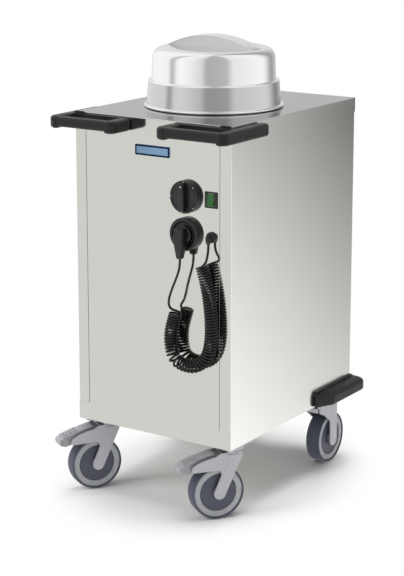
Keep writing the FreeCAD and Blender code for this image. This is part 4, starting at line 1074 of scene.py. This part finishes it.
def whole_fork(outline, leg_rib):
    near = fork_half(outline, leg_rib)
    far = twin(near, "far_leg", Matrix.Scale(-1, 4, (0, 1, 0)))
    side = FORK_IN + LEG
    front, back = outline[0][0], outline[1][0]
    plan = softened([(front, -side, 9), (back, -side, 2), (back, side, 2), (front, side, 9)])
    crown = profile("crown", [local(x, y, CROWN_LOW) for x, y in plan], (0, 0, CROWN_TOP - CROWN_LOW))
    bevel(crown, 1.4, 3, angle=50)
    nose = block("nose", local(front, -side + 8, CROWN_TOP - 18), local(front + 5, side - 8, CROWN_TOP - 1))
    bevel(nose, 1.4, 3)
    return unite("fork", near, far, crown, nose)


# %% Pedal with its tread ribs
PEDAL_HALF = 16.0
SLOPE_START, SLOPE_END = (76.0, 149.5), (119.0, 136.3)
FIRST_RIB, RIB_STEP, RIBS = 84.0, 6.6, 6


def brake_pedal():
    outline = [(40, 146, 2), (46.8, 157, 2), (76, 149.5, 14), (118, 136.3, 3), (129.6, 129, 4),
               (127.1, 117.5, 5), (114, 113, 5), (100, 116, 12), (62, 128, 12), (40, 133, 2)]
    lever = from_side("pedal", outline, -PEDAL_HALF, 2 * PEDAL_HALF)
    bevel(lever, 2.2, 4, angle=50)
    ribs = []
    run, fall = SLOPE_END[0] - SLOPE_START[0], SLOPE_START[1] - SLOPE_END[1]
    slope = math.atan2(fall, run)
    for k in range(RIBS):
        along = FIRST_RIB + RIB_STEP * k
        rib = block("rib", local(-1.7, -14.0, -1), local(1.7, 14.0, 2.8))
        bevel(rib, 0.9, 3)
        spot = local(along, 0, SLOPE_START[1] - (along - SLOPE_START[0]) * math.tan(slope))
        ribs.append(place(rib, spot, Matrix.Rotation(slope, 4, "Y")))
    return unite("pedal", lever, *ribs)


braked_fork, plain_fork = whole_fork(braked_side, braked_rib), whole_fork(plain_side, plain_rib)
pedal = brake_pedal()
for corner in castor_turns:
    front = corner.startswith("front")
    copy = twin(braked_fork if front else plain_fork, f"fork_of_{corner}", castor_matrix(corner))
    finish_piece(copy, fork_steel, f"fork_{corner}", f"fork_{corner}", flats=True)
    if front:
        copy = twin(pedal, f"pedal_of_{corner}", castor_matrix(corner))
        finish_piece(copy, pedal_plastic, f"pedal_{corner}", f"pedal_{corner}", flats=True)
for part in (braked_fork, plain_fork, pedal):
    bpy.data.objects.remove(part)

# %% [markdown]
# ## Studio
# A plain pale floor that fades to white, a white surround, and two large soft lamps that mirrors
# don't show. Polished metal has no look of its own: it shows what stands round it. So mirrors see a
# surround of soft upright bands, light and grey by turns, which gives the dome its stripes, and a
# floor that is whiter than the camera's. To the right stands a card that only mirrors see. It runs
# from light at the cart's front to grey at its rear and top, as a photographer's flag does.

# %% Lamps
def soft_lamp(name, place_mm, aim_mm, size_mm, watts):
    lamp_data = bpy.data.lights.new(name, "AREA")
    lamp_data.shape = "RECTANGLE"
    lamp_data.size, lamp_data.size_y = (s * MM for s in size_mm)
    lamp_data.energy = watts
    lamp = bpy.data.objects.new(name, lamp_data)
    lamp.location = mm(*place_mm)
    lamp.rotation_euler = (mm(*aim_mm) - lamp.location).to_track_quat("-Z", "Y").to_euler()
    lamp.visible_glossy = False
    bpy.context.collection.objects.link(lamp)


soft_lamp("key softbox", (-1700, -2300, 2300), (0, 200, 500), (1500, 1500), 50.0)
soft_lamp("overhead softbox", (100, 500, 3000), (0, 270, 0), (1900, 1900), 90.0)


# %% Surround
def seen_by(tree, *kinds):
    """1 for rays of the given kinds, else 0."""
    rays = add(tree, "ShaderNodeLightPath")
    first, *others = [rays.outputs[f"Is {kind} Ray"] for kind in kinds]
    for other in others:
        first = add(tree, "ShaderNodeMath", {"operation": "MAXIMUM"}, (first, other))
    return first


WHITE = (1, 1, 1, 1)
AMBIENT = 0.32
world = bpy.data.worlds.new("studio")
bpy.context.scene.world = world
world.use_nodes = True
sky = world.node_tree
sky.nodes.clear()
seen = add(sky, "ShaderNodeBackground", Color=WHITE, Strength=1.0)
direction = add(sky, "ShaderNodeTexCoord").outputs["Generated"]
bands = add(sky, "ShaderNodeTexGradient", {"gradient_type": "RADIAL"}, Vector=direction)
ramp = add(sky, "ShaderNodeValToRGB", Fac=bands.outputs["Fac"])
glow = add(sky, "ShaderNodeBackground", Color=ramp, Strength=1.0)
ramp.color_ramp.interpolation = "EASE"
BANDS = ((0.0, 1.0), (0.025, 1.0), (0.08, 0.97), (0.112, 0.52), (0.15, 0.98), (0.17, 1.02), (0.21, 0.95),
         (0.27, 0.78), (0.31, 0.46), (0.40, 0.50), (0.45, 0.88), (0.62, 1.0), (0.714, 0.36), (0.76, 0.52),
         (0.82, 0.74), (0.88, 0.78), (0.93, 0.98), (1.0, 1.0))
stops = ramp.color_ramp.elements
for number, (spot, level) in enumerate(BANDS):
    stop = stops[number] if number < len(stops) - 1 else stops.new(spot)
    stop.position, stop.color = spot, (level, level, level, 1)
ambient = add(sky, "ShaderNodeBackground", Color=WHITE, Strength=AMBIENT)
unseen = add(sky, "ShaderNodeMixShader", None, (seen_by(sky, "Glossy"), ambient, glow))
surround = add(sky, "ShaderNodeMixShader", None, (seen_by(sky, "Camera"), unseen, seen))
add(sky, "ShaderNodeOutputWorld", Surface=surround)
print("surround bands:", len(stops))

# %% Floor
FLOOR_FADE = (2.5, 2.05, 1.0)
FADE_END = 0.40
MIRRORS_SHARE = 0.25
floor_material, floor_tree, floor_place = new_material("pale studio floor")
clear_selection()
bpy.ops.mesh.primitive_plane_add(size=9.0, location=(0, 0, 0))
floor = bpy.context.object
floor.name = "studio_floor"
floor.data.materials.append(floor_material)
matt = add(floor_tree, "ShaderNodeBsdfPrincipled", Base_Color=linear("#FAFAF9"), Roughness=0.9)
white = add(floor_tree, "ShaderNodeEmission", Color=WHITE, Strength=1.0)
scaled = add(floor_tree, "ShaderNodeMapping", Vector=floor_place, Scale=FLOOR_FADE)
distance = add(floor_tree, "ShaderNodeTexGradient", {"gradient_type": "SPHERICAL"}, Vector=scaled)
fade = add(floor_tree, "ShaderNodeMapRange", {"interpolation_type": "SMOOTHSTEP"},
           Value=distance.outputs["Fac"], From_Max=FADE_END)
share = add(floor_tree, "ShaderNodeMapRange", Value=seen_by(floor_tree, "Camera"), To_Min=MIRRORS_SHARE)
shaded = add(floor_tree, "ShaderNodeMath", {"operation": "MULTIPLY"}, (fade, share))
blend = add(floor_tree, "ShaderNodeMixShader", None, (shaded, white, matt))
seen_floor = add(floor_tree, "ShaderNodeMixShader", None,
                 (seen_by(floor_tree, "Camera", "Glossy"), matt, blend))
add(floor_tree, "ShaderNodeOutputMaterial", Surface=seen_floor)

# %% Card for the side panel, seen only in mirrors
CARD_LOW, CARD_HIGH = mm(450, 150, 2), mm(450, 1350, 850)
CARD_SHADE_FROM, CARD_SHADE_TO, CARD_SHADE = mm(0, 340, 0).y, mm(0, 1010, 0).y, 0.46
CARD_TOP, CARD_AT_FLOOR, CARD_AT_TOP = 0.83, 1.17, 0.61
card = flat_sheet("side_card", CARD_LOW, CARD_HIGH)
card_material, card_tree, card_place = new_material("graded card")
card_parts = add(card_tree, "ShaderNodeSeparateXYZ", Vector=card_place)
front_to_rear = add(card_tree, "ShaderNodeMapRange", Value=card_parts.outputs["Y"],
                    From_Min=CARD_SHADE_FROM, From_Max=CARD_SHADE_TO, To_Max=CARD_SHADE)
low_to_high = add(card_tree, "ShaderNodeMapRange", Value=card_parts.outputs["Z"],
                  From_Max=CARD_TOP, To_Min=CARD_AT_FLOOR, To_Max=CARD_AT_TOP)
level = add(card_tree, "ShaderNodeMath", {"operation": "SUBTRACT"}, (low_to_high, front_to_rear))
shine = add(card_tree, "ShaderNodeEmission", Color=WHITE, Strength=level)
add(card_tree, "ShaderNodeOutputMaterial", Surface=shine)
card.data.materials.append(card_material)
card.visible_camera = card.visible_diffuse = card.visible_shadow = card.visible_transmission = False
card.visible_volume_scatter = False
bpy.context.scene.view_settings.view_transform = "Standard"
